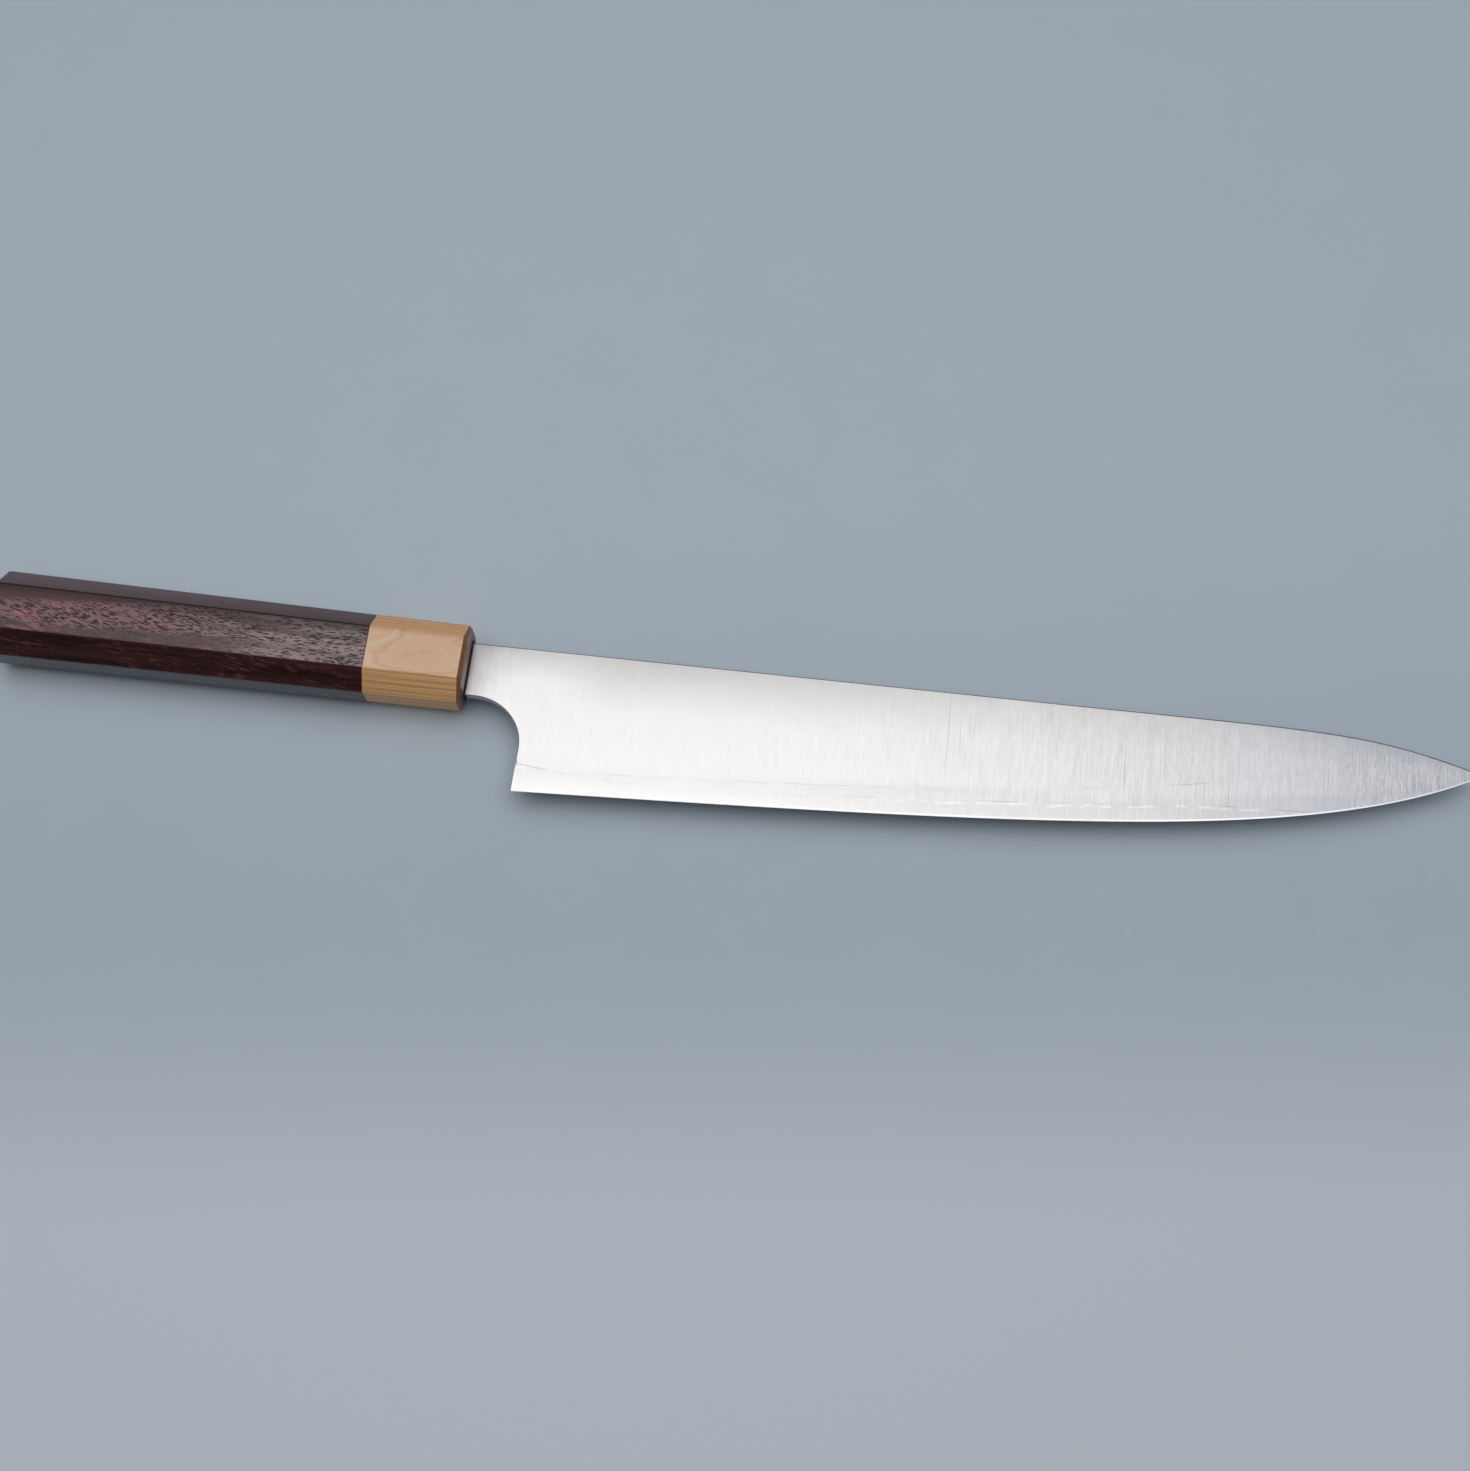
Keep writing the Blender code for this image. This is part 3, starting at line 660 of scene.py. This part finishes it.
@dataclass(frozen=True)
class SatinSteel:
    """Satin steel with streaks across the blade, a wavy weld line, a darker band under the spine, a
    painted dark reflection along the spine, painted shade round the neck, and a bright edge with a
    painted highlight along it toward the tip. It turns cooler and more streaked toward the tip.

    The pattern reads the attribute that BladePiece writes: the height above the cutting edge, the
    height above the weld line, and the share of the way down from the spine. A pair is where
    along the knife something starts and where it is full.
    """

    name: str
    roughness: float
    face: Colour = (0.606, 0.602, 0.601)
    rosy: Colour = (0.611, 0.593, 0.597)
    cool: Colour = (0.624, 0.631, 0.654)
    violet: Colour = (0.656, 0.620, 0.662)
    dull: Colour = (0.415, 0.408, 0.402)
    cool_dull: Colour = (0.405, 0.418, 0.448)
    below_weld: Colour = (0.495, 0.482, 0.474)
    thread: Colour = (0.24, 0.225, 0.215)
    # painted reflection: a dark line along the rounded spine
    painted_spine_reflection: Colour = (0.130, 0.125, 0.155)
    edge: Colour = (0.64, 0.64, 0.64)
    # painted highlight along the cutting bevel toward the tip
    tip_edge_highlight: Colour = (0.95, 0.96, 1.0)
    weld_pale: Colour = (0.70, 0.69, 0.685)
    fine: Grain = Grain((2800.0, 130.0, 130.0), 2.0, 0.6)
    short: Grain = Grain((3200.0, 420.0, 420.0), 2.0, 0.6)
    broad: Grain = Grain((900.0, 45.0, 45.0))
    cloud: Grain = Grain((30.0, 70.0, 70.0), 3.0, 0.6)
    tint: Grain = Grain((1700.0, 320.0, 320.0), 2.0, 0.6)
    scratch: Grain = Grain((1900.0, 38.0, 38.0), 1.0)
    smudge: Grain = Grain((380.0, 150.0, 150.0), 3.0, 0.6)
    relief_grows: Pair = (0.150, 0.260)
    cools: Pair = (0.255, 0.335)
    weld_shows: Pair = (0.168, 0.220)
    weld_waves: float = 140.0
    thread_breaks: float = 75.0
    weld_patches: float = 170.0
    thread_above_weld: float = 0.5 * MM
    polish: float = 0.16
    attribute: str = "blade_place"

    def make(self) -> Material:
        """Return the material."""
        graph = Graph(self.name)
        graph.shader.inputs["Metallic"].default_value = 1.0
        place = graph.place()
        x = graph.split(place)[0]
        above_edge, above_weld, below_spine = graph.split(graph.attribute(self.attribute))
        fine = place.grain(self.fine)
        broad = place.grain(self.broad)
        cloud = place.grain(self.cloud)

        cools = x.span(*self.cools)
        tint = place.grain(self.tint).span(0.44, 0.60)
        colour = mix(cloud.span(0.35, 0.70), self.face, self.rosy)
        colour = mix(cools, colour, mix(tint, self.cool, self.violet))
        dull = mix(cools, self.dull, self.cool_dull)
        colour = self.add_bands_and_neck_shade(colour, dull, x, below_spine, cloud)

        mixed = fine * 0.45 + place.grain(self.short) * 0.55
        shade = mixed.span(0.38, 0.62, 0.0, 0.8) + broad.span(0.35, 0.70, 0.0, 0.2)
        depth = x.span(0.150, 0.300, 0.06, 0.45) + x.span(0.305, 0.355, 0.0, 0.64)
        colour = mix(shade * depth, colour, dull)
        scratch = place.grain(self.scratch).span(0.69, 0.77, 0.0, 0.32)
        colour = mix(scratch * x.span(0.165, 0.225), colour, self.thread)
        colour = self.add_weld(colour, x, above_weld, fine)

        colour = mix(above_edge.span(0.62 * MM, 0.50 * MM), colour, self.edge)
        # painted highlight along the edge toward the tip
        tip_edge_highlight = above_edge.span(0.42 * MM, 0.30 * MM) * x.span(0.250, 0.310)
        colour = mix(tip_edge_highlight, colour, self.tip_edge_highlight)
        # painted reflection of the dark surroundings: a dark line along the rounded spine
        drop = above_edge * (below_spine / (1.0 - below_spine))
        rim = (x.span(0.100, 0.270, 0.22 * MM, 0.42 * MM) - drop).span(0.0, 0.14 * MM)
        colour = mix(rim, colour, self.painted_spine_reflection)

        flat = abs(graph.split(graph.normal())[2]).span(0.60, 0.95)
        satin = (fine - 0.5) * x.span(*self.relief_grows, 0.09, 0.15)
        satin = satin + (self.roughness - self.polish)
        graph.dress(colour, satin * flat + self.polish)
        shown = flat * x.span(*self.relief_grows, 0.20, 1.0)
        graph.relief((fine * 0.8 + broad * 0.6) * shown, depth=0.014 * MM, strength=0.6)
        return graph.material

    def add_bands_and_neck_shade(
        self, colour: Value, dull: Value, x: Signal, below_spine: Signal, cloud: Signal
    ) -> Signal:
        """Return the colour with darker bands under the spine, round the neck and over the edge,
        and painted shade in the corner where the neck meets the ferrule. The band round the neck is
        partly a duller finish and partly painted shade.

        Args:
            colour: The steel's colour so far.
            dull: The colour of the duller steel.
            x: Place along the knife.
            below_spine: Share of the way down from the spine to the edge.
            cloud: Soft noise, which makes the band uneven.

        Returns:
            The colour.
        """
        graph = x.graph
        share = below_spine + (cloud - 0.5) * 0.20
        strength = x.span(0.112, 0.270, 0.92, 0.34) + x.span(0.285, 0.345, 0.0, 0.38)
        reach = x.span(0.100, 0.125, 0.28, 0.42)
        band = share.span(reach, -0.04) * strength
        neck = x + (graph.place().grain(self.smudge) - 0.5) * (12.0 * MM)
        # the band round the neck is partly duller steel and partly painted shade
        neck_dull_and_shade = neck.span(0.0915, 0.0815, 0.0, 0.85)
        low_band = share.span(0.72, 0.84) * x.span(0.130, 0.250, 0.07, 0.31)
        low_band = low_band * x.span(0.345, 0.325)
        darkest = band.at_least(neck_dull_and_shade).at_least(low_band)
        # painted shade in the corner where the neck meets the ferrule
        corner = share.span(0.34, 0.0, 0.0, 0.55) * neck.span(0.0960, 0.0835)
        return mix(corner, mix(darkest, colour, dull), self.thread)

    def add_weld(self, colour: Value, x: Signal, above_weld: Signal, fine: Signal) -> Signal:
        """Return the colour with the weld line drawn in: a dark thread over a pale one.

        Args:
            colour: The steel's colour so far.
            x: Place along the knife.
            above_weld: Height above the weld line.
            fine: The fine streaks, which roughen the line.

        Returns:
            The colour.
        """
        graph = x.graph

        def along(per_metre: float, row: float, detail: float = 2.0, rough: float = 0.5) -> Signal:
            """Return noise along the knife; another row is another noise."""
            return graph.noise(graph.join(x * per_metre, row, 0.0), detail, rough)

        shown = x.span(*self.weld_shows, 0.02, 1.0)
        jitter = (along(self.weld_waves, 0.0, 4.0, 0.7) - 0.5) * (4.0 * MM)
        height = above_weld + jitter + (fine - 0.5) * (1.2 * MM)
        below = height.span(0.5 * MM, -0.5 * MM) * shown * 0.38
        colour = mix(below, colour, self.below_weld)

        distance = abs(above_weld - self.thread_above_weld)
        broken = along(self.thread_breaks, 3.0).span(0.46, 0.60, 0.0, 0.42)
        thread = distance.span(0.26 * MM, 0.06 * MM) * broken
        colour = mix(thread * shown, colour, self.thread)
        at_heel = distance.span(0.22 * MM, 0.05 * MM) * x.span(0.109, 0.107)
        colour = mix(at_heel * 0.55, colour, self.thread)

        patchy = along(self.weld_patches, 7.0).span(0.40, 0.60)
        seam = abs(above_weld).span(0.20 * MM, 0.05 * MM) * (1.0 - patchy) * 0.55
        colour = mix(seam, colour, self.below_weld)
        pale = abs(height + 0.2 * MM).span(0.52 * MM, 0.16 * MM) * shown
        return mix(pale * patchy.span(0.0, 1.0, 0.04, 0.50), colour, self.weld_pale)


@dataclass(frozen=True)
class PaintedBoard:
    """The matt blue-grey board that the knife lies on, a little paler toward the viewer."""

    name: str = "painted_board"
    far: Colour = (0.603, 0.694, 0.786)
    middle: Colour = (0.538, 0.624, 0.712)
    near: Colour = (0.712, 0.788, 0.874)
    mottle: Grain = Grain((45.0, 45.0, 45.0), 4.0, 0.6)
    flecks: Grain = Grain((420.0, 420.0, 420.0), 2.0, 0.7)
    lean: float = -0.1188
    roughness: float = 0.75

    def make(self) -> Material:
        """Return the material."""
        graph = Graph(self.name)
        place = graph.place()
        x, y, _ = graph.split(place)
        away = y + x * self.lean
        colour = mix(away.span(0.048, -0.082), self.far, self.middle)
        colour = mix(away.span(-0.082, -0.167), colour, self.near)
        mottle = place.grain(self.mottle).span(0.3, 0.7, 0.0, 0.06)
        colour = mix(mottle, colour, self.near)
        flecks = place.grain(self.flecks).span(0.60, 0.74, 0.0, 0.10)
        colour = mix(flecks, colour, self.near)
        graph.dress(colour, self.roughness)
        return graph.material


# Handle


@dataclass(frozen=True)
class Octagon:
    """A section of the handle: its height in the blade's plane, its thickness, and its chamfers."""

    height: float
    thickness: float
    chamfer: float

    def toward(self, other: "Octagon", share: float) -> "Octagon":
        """Return a section that is a share of the way to another one."""
        sizes = zip(astuple(self), astuple(other))
        return Octagon(*(mine + (theirs - mine) * share for mine, theirs in sizes))


@dataclass(frozen=True)
class Taper:
    """The one taper that runs through the handle body and the ferrule."""

    mouth: Octagon = Octagon(23.4 * MM, 18.3 * MM, 5.4 * MM)
    butt: Octagon = Octagon(25.6 * MM, 19.4 * MM, 6.0 * MM)
    length: float = 135.5 * MM
    facet_edge: float = 0.33 * MM
    facet_edge_segments: int = 4

    def section(self, behind_mouth: float) -> Octagon:
        """Return the section at a distance behind the mouth."""
        return self.mouth.toward(self.butt, behind_mouth / self.length)


def edge_at(x: float) -> Callable[[bmesh.types.BMEdge], bool]:
    """Return a test for the edges that lie across the handle at a place along X."""
    return lambda edge: all(abs(vertex.co.x - x) < COINCIDENT for vertex in edge.verts)


def runs_lengthwise(edge: bmesh.types.BMEdge) -> bool:
    """Tell whether an edge runs along the handle and not round it."""
    return abs(edge.verts[0].co.x - edge.verts[1].co.x) > COINCIDENT


@dataclass
class HandleLength:
    """A length of the octagonal handle, before anything is cut out of it.

    With a dome its front face rises from the rim toward the middle, up to front_x. A ring of the
    dome is its share of the rise, and how far it shrinks.
    """

    name: str
    taper: Taper
    mouth_x: float
    axis_z: float
    back_x: float
    front_x: float
    back_rim: tuple[Rim, float]
    front_rim: tuple[Rim, float]
    dome: float = 0.0
    dome_rings: tuple[Pair, ...] = (
        (0.387, 0.977), (0.196, 0.967), (0.198, 0.942), (0.146, 0.918), (0.073, 0.866)
    )

    def build_form(self) -> Object:
        """Return the outer form: a tapered bar with four chamfers, soft facet edges and rims."""
        rim_x = self.front_x - self.dome
        front = self.taper.section(self.mouth_x - rim_x)
        back = self.taper.section(self.mouth_x - self.back_x)
        low = Vector((self.back_x, -front.height / 2, self.axis_z - front.thickness / 2))
        high = Vector((rim_x, front.height / 2, self.axis_z + front.thickness / 2))
        form = start_block(self.name, low, high)
        with editing(form):
            pick(form, Element.EDGE, runs_lengthwise)
            bevel_picked((front.chamfer + back.chamfer) / 2, 1)
            pick(form, Element.VERTEX, lambda vertex: abs(vertex.co.x - self.back_x) < COINCIDENT)
            bpy.ops.transform.resize(
                value=(1.0, back.height / front.height, back.thickness / front.thickness),
                center_override=(self.back_x, 0.0, self.axis_z),
            )
            for end_x, (rim, width) in ((self.back_x, self.back_rim), (rim_x, self.front_rim)):
                pick(form, Element.EDGE, edge_at(end_x))
                bevel_picked(width, rim.value)
            pick(form, Element.EDGE, runs_lengthwise)
            bevel_picked(self.taper.facet_edge, self.taper.facet_edge_segments)
            if self.dome:
                self.raise_dome(form, rim_x)
        return form

    def raise_dome(self, form: Object, rim_x: float) -> None:
        """Raise the front face inside its rim in rings that get flatter.

        Args:
            form: The bar in edit mode.
            rim_x: Where the front face is.
        """
        on_front = edge_at(rim_x)
        pick(form, Element.EDGE, on_front)
        bpy.ops.mesh.mark_sharp()
        pick(form, Element.FACE, lambda face: all(on_front(edge) for edge in face.edges))
        middle = (rim_x, 0.0, self.axis_z)
        for rise, shrink in self.dome_rings:
            step = {"value": (self.dome * rise, 0.0, 0.0)}
            bpy.ops.mesh.extrude_region_move(TRANSFORM_OT_translate=step)
            bpy.ops.transform.resize(value=(1.0, shrink, shrink), center_override=middle)


@dataclass
class Handle:
    """The handle: rosewood body, boxwood ferrule, resin round the neck, and the dowel inside."""

    taper: Taper = Taper()
    ferrule_length: float = 28.0 * MM
    joint_gap: float = 0.02 * MM
    butt_rim: float = 1.0 * MM
    joint_rim: float = 0.12 * MM
    mouth_rim: float = 0.75 * MM
    mouth_dome: float = 0.55 * MM
    bore_clearance: float = 0.3 * MM
    bore_sides: int = 64
    drill_point: float = 3.8 * MM
    slot_depth: float = 16.0 * MM
    seal_wall: float = 0.56 * MM
    packed_seal_wall: float = 0.7 * MM
    seal_depth: float = 4.0 * MM
    seal_stands_proud: float = 0.34 * MM
    seal_soft_edge: float = 0.12 * MM
    seal_edge_segments: int = 3
    seal_cuts: int = 24
    seal_waviness: float = 0.10 * MM
    seal_seed: int = 5
    neck_overlap: float = 0.15 * MM

    def __post_init__(self) -> None:
        """Read the handle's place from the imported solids."""
        low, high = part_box("ferrule")
        self.mouth_x = high.x
        self.joint_x = high.x - self.ferrule_length
        self.axis_z = (low.z + high.z) / 2
        self.butt_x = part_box("handle_body")[0].x
        self.dowel_low, self.dowel_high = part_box("dowel")

    def bore(self, back_x: float, front_x: float) -> Object:
        """Return a cutter for the dowel's bore, with a drill point at its back end.

        Args:
            back_x: Where the full bore starts.
            front_x: Where it ends.
        """
        radius = (self.dowel_high.y - self.dowel_low.y) / 2 + self.bore_clearance
        back = Vector((back_x, 0.0, self.axis_z))
        rod = start_rod("bore", radius, back, front_x - back_x, self.bore_sides)
        with editing(rod):
            pick(rod, Element.FACE, lambda face: face.normal.x < -0.9)
            step = {"value": (-self.drill_point, 0.0, 0.0)}
            bpy.ops.mesh.extrude_region_move(TRANSFORM_OT_translate=step)
            bpy.ops.mesh.merge(type="CENTER")
        return rod

    def build_body(self) -> None:
        """Make the rosewood body, drilled from its front."""
        body = HandleLength(
            "rosewood_body",
            self.taper,
            self.mouth_x,
            self.axis_z,
            back_x=self.butt_x,
            front_x=self.joint_x - self.joint_gap,
            back_rim=(Rim.ROUNDED, self.butt_rim),
            front_rim=(Rim.CHAMFERED, self.joint_rim),
        ).build_form()
        cut(body, self.bore(self.dowel_low.x - self.bore_clearance, self.mouth_x))
        finish_piece(body, Rosewood().make(), "handle_body")

    def build_ferrule(self) -> None:
        """Make the boxwood ferrule, slotted for the neck and bored for the dowel."""
        ferrule = HandleLength(
            "boxwood_ferrule",
            self.taper,
            self.mouth_x,
            self.axis_z,
            back_x=self.joint_x,
            front_x=self.mouth_x,
            back_rim=(Rim.CHAMFERED, self.joint_rim),
            front_rim=(Rim.CHAMFERED, self.mouth_rim),
            dome=self.mouth_dome,
        ).build_form()
        ends = (self.mouth_x - self.slot_depth, self.mouth_x + self.seal_wall)
        cut(ferrule, self.neck_block("slot", self.seal_wall, *ends))
        cut(ferrule, self.bore(self.butt_x, self.dowel_high.x + self.bore_clearance))
        finish_piece(ferrule, Boxwood().make(), "ferrule")

    def neck_block(self, name: str, wall: float, back_x: float, front_x: float) -> Object:
        """Return a block round the neck.

        Args:
            name: The block's name.
            wall: How far it stands out from the steel.
            back_x: Where it starts.
            front_x: Where it ends.
        """
        low, high = (corner.copy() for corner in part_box("neck_seal"))
        grow = Vector((0.0, wall - self.packed_seal_wall, wall - self.packed_seal_wall))
        low, high = low - grow, high + grow
        low.x, high.x = back_x, front_x
        return start_block(name, low, high)

    def build_seal(self) -> None:
        """Make the bead of resin that fills the ferrule's mouth and stands a little proud of it."""
        back_x, front_x = self.mouth_x - self.seal_depth, self.mouth_x + self.seal_stands_proud
        seal = self.neck_block("neck_resin_bead", self.seal_wall, back_x, front_x)
        with editing(seal):
            pick(seal, Element.EDGE, lambda edge: all(v.co.x > self.mouth_x for v in edge.verts))
            bevel_picked(self.seal_soft_edge, self.seal_edge_segments)
            bpy.ops.mesh.select_mode(type=Element.EDGE.value)
            bpy.ops.mesh.select_all(action="SELECT")
            bpy.ops.mesh.subdivide(number_cuts=self.seal_cuts)
            pick(seal, Element.VERTEX, lambda vertex: vertex.co.x > self.mouth_x)
            bpy.ops.transform.vertex_random(
                offset=self.seal_waviness, uniform=1.0, seed=self.seal_seed
            )
        ends = (back_x - self.seal_depth, front_x + self.seal_depth)
        cut(seal, self.neck_block("neck_opening", -self.neck_overlap, *ends))
        finish_piece(seal, NeckResin().make(), "neck_seal")

    def dress_dowel(self) -> None:
        """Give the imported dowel, which stays as it is, its wood."""
        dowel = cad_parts["dowel"]
        dowel.data.materials.clear()
        dowel.data.materials.append(DowelWood().make())
        log.info("dowel keeps its solid")


# Blade


@dataclass(frozen=True)
class Outline:
    """The edge and spine, read from the core's vertices, and the weld line above the edge."""

    edge_x: np.ndarray
    edge_y: np.ndarray
    spine_x: np.ndarray
    spine_y: np.ndarray
    weld: tuple[Pair, ...] = (
        (0.0, 0.0076), (0.009, 0.0060), (0.045, 0.0034), (0.080, 0.0037), (0.110, 0.0041),
        (0.140, 0.0045), (0.183, 0.0043), (0.195, 0.0037), (0.208, 0.0023), (0.221, 0.0),
    )

    @classmethod
    def read(cls) -> "Outline":
        """Return the core's outline: its edge is on its mid-plane, its spine is its upper hull."""
        low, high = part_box(Layer.CORE.value)
        middle = (low.z + high.z) / 2
        places = [vertex.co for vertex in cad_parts[Layer.CORE.value].data.vertices]
        edge = sorted((spot.x, spot.y) for spot in places if abs(spot.z - middle) < COINCIDENT)
        hull: list[Pair] = []
        for x, y in sorted((spot.x, spot.y) for spot in places):
            while len(hull) > 1 and cls.sags(hull[-2], hull[-1], (x, y)):
                hull.pop()
            hull.append((x, y))
        return cls(*np.array(edge).T, *np.array(hull).T)

    @staticmethod
    def sags(first: Pair, middle: Pair, last: Pair) -> bool:
        """Tell whether the middle one of three points is on or under the line of the others."""
        run = (middle[0] - first[0]) * (last[1] - first[1])
        return run >= (middle[1] - first[1]) * (last[0] - first[0])

    def measure(self, points: np.ndarray) -> np.ndarray:
        """Return what the steel's pattern reads, for each point.

        Args:
            points: One row of X, Y and Z for each point.

        Returns:
            One row for each point: the height above the cutting edge, the height above the weld
            line, and the share of the way down from the spine.
        """
        x, y = points[:, 0], points[:, 1]
        edge = np.interp(x, self.edge_x, self.edge_y)
        spine = np.interp(x, self.spine_x, self.spine_y)
        above_weld = y - edge - np.interp(x - self.edge_x[0], *np.array(self.weld).T)
        return np.stack([y - edge, above_weld, (spine - y) / np.maximum(spine - edge, MM)], axis=1)


@dataclass(frozen=True)
class BladePiece:
    """One steel layer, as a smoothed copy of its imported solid."""

    name: str
    layer: Layer
    slot: str

    def build(self, outline: Outline, finish: SatinSteel, material: Material) -> None:
        """Copy the solid, join its triangles, smooth it and write the pattern's attribute.

        Args:
            outline: The blade's outline.
            finish: The layer's steel, which names the attribute.
            material: The material made from it.
        """
        piece = bpy.data.objects.new(self.name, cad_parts[self.layer.value].data.copy())
        piece.data.name = self.name
        bpy.context.scene.collection.objects.link(piece)
        make_active(piece)
        bpy.ops.mesh.customdata_custom_splitnormals_clear()
        with editing(piece):
            bpy.ops.mesh.select_all(action="SELECT")
            bpy.ops.mesh.remove_doubles(threshold=COINCIDENT)
            bpy.ops.mesh.tris_convert_to_quads(
                face_threshold=FLAT_ENOUGH, shape_threshold=ANY_SHAPE
            )
            bpy.ops.mesh.mark_sharp(clear=True)
        bpy.ops.object.shade_smooth_by_angle(angle=SHARP_ANGLE)
        even = piece.modifiers.new("even_normals", "WEIGHTED_NORMAL")
        even.keep_sharp = True
        bpy.ops.object.modifier_apply(modifier=even.name)
        points = np.array([vertex.co for vertex in piece.data.vertices])
        attribute = piece.data.attributes.new(finish.attribute, "FLOAT_VECTOR", "POINT")
        attribute.data.foreach_set("vector", outline.measure(points).astype(np.float32).ravel())
        finish_piece(piece, material, self.layer.value)


@dataclass
class Blade:
    """The laminated blade: a hard core between two soft claddings."""

    cladding: SatinSteel = SatinSteel("cladding_steel_satin", 0.32)
    core: SatinSteel = SatinSteel("core_steel_satin", 0.30)

    def build(self) -> None:
        """Make the three layers."""
        outline = Outline.read()
        cladding = (self.cladding, self.cladding.make())
        core = (self.core, self.core.make())
        BladePiece("core_layer", Layer.CORE, "core_steel").build(outline, *core)
        BladePiece("right_layer", Layer.RIGHT, "cladding_steel").build(outline, *cladding)
        BladePiece("left_layer", Layer.LEFT, "cladding_steel").build(outline, *cladding)


# Board, light and camera


@dataclass(frozen=True)
class Lamp:
    """A lamp, aimed from its place at a spot."""

    name: str
    kind: LampKind
    place: Vector
    aim: Vector
    strength: float
    width: float
    colour: Colour
    depth: float = 0.0

    def hang(self) -> None:
        """Add the lamp. Width and depth are an area lamp's sides; a sun's width is its angle."""
        data = bpy.data.lights.new(self.name, self.kind.value)
        data.energy = self.strength
        data.color = self.colour
        if self.kind is LampKind.AREA:
            data.shape = "RECTANGLE"
            data.size = self.width
            data.size_y = self.depth
        else:
            data.angle = self.width
        lamp = bpy.data.objects.new(self.name, data)
        bpy.context.scene.collection.objects.link(lamp)
        lamp.location = self.place
        lamp.rotation_euler = (self.aim - self.place).to_track_quat("-Z", "Y").to_euler()


@dataclass(frozen=True)
class Studio:
    """The board under the knife, the lamps and the world."""

    taper: Taper = Taper()
    board_size: float = 12.0
    world_colour: Colour = (0.050, 0.051, 0.053)
    softbox: Lamp = Lamp(
        "softbox",
        LampKind.AREA,
        place=Vector((0.10, 0.060, 1.0)),
        aim=Vector((0.10, 0.060, 0.0)),
        strength=1.80,
        width=0.90,
        depth=0.63,
        colour=(1.0, 0.985, 0.97),
    )
    ceiling: Lamp = Lamp(
        "white_ceiling",
        LampKind.SUN,
        place=Vector((0.0, 0.16, 1.0)),
        aim=Vector((0.0, 0.0, 0.0)),
        strength=1.12,
        width=math.radians(80.0),
        colour=(0.97, 0.99, 1.0),
    )

    def build(self) -> None:
        """Lay the board, hang the lamps and set the world and the view."""
        self.lay_board()
        self.softbox.hang()
        self.ceiling.hang()
        scene = bpy.context.scene
        scene.view_settings.view_transform = "Standard"
        world = bpy.data.worlds.new("plain_studio")
        world.use_nodes = True
        background = world.node_tree.nodes["Background"]
        background.inputs["Color"].default_value = (*self.world_colour, 1.0)
        scene.world = world

    def lay_board(self) -> None:
        """Lay the board along the sloping lower flat of the handle, which the knife rests on."""
        taper = self.taper
        low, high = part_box("ferrule")
        rise = (taper.butt.thickness - taper.mouth.thickness) / 2 / taper.length
        mouth = Vector((high.x, 0.0, (low.z + high.z) / 2 - taper.mouth.thickness / 2))
        bpy.ops.mesh.primitive_plane_add(
            size=self.board_size, location=mouth, rotation=(0.0, -math.atan(rise), 0.0)
        )
        board = name_new("board")
        board.data.materials.append(PaintedBoard().make())


@dataclass(frozen=True)
class Viewpoint:
    """The camera at the photograph's angle."""

    place: Vector = Vector((178.12 * MM, -173.08 * MM, 494.80 * MM))
    right: Vector = Vector((0.99302, 0.117945, 0.0001))
    up: Vector = Vector((-0.111820, 0.941187, 0.318846))
    ahead: Vector = Vector((-0.037515, 0.316632, -0.947806))
    lens: float = 44.75
    nearest: float = 10.0 * MM

    def build(self) -> None:
        """Add the camera and make it the scene's."""
        camera = bpy.data.objects.new("camera", bpy.data.cameras.new("camera"))
        bpy.context.scene.collection.objects.link(camera)
        camera.data.lens = self.lens
        camera.data.clip_start = self.nearest
        turn = Matrix((self.right, self.up, -self.ahead)).transposed()
        camera.matrix_world = Matrix.Translation(self.place) @ turn.to_4x4()
        bpy.context.scene.camera = camera


def main() -> None:
    """Build the knife's pieces, then what is round it."""
    logging.basicConfig(level=logging.INFO, format="%(message)s")
    Viewpoint().build()
    handle = Handle()
    handle.build_body()
    handle.build_ferrule()
    handle.build_seal()
    handle.dress_dowel()
    Blade().build()
    Studio().build()


if __name__ == "__main__":
    main()
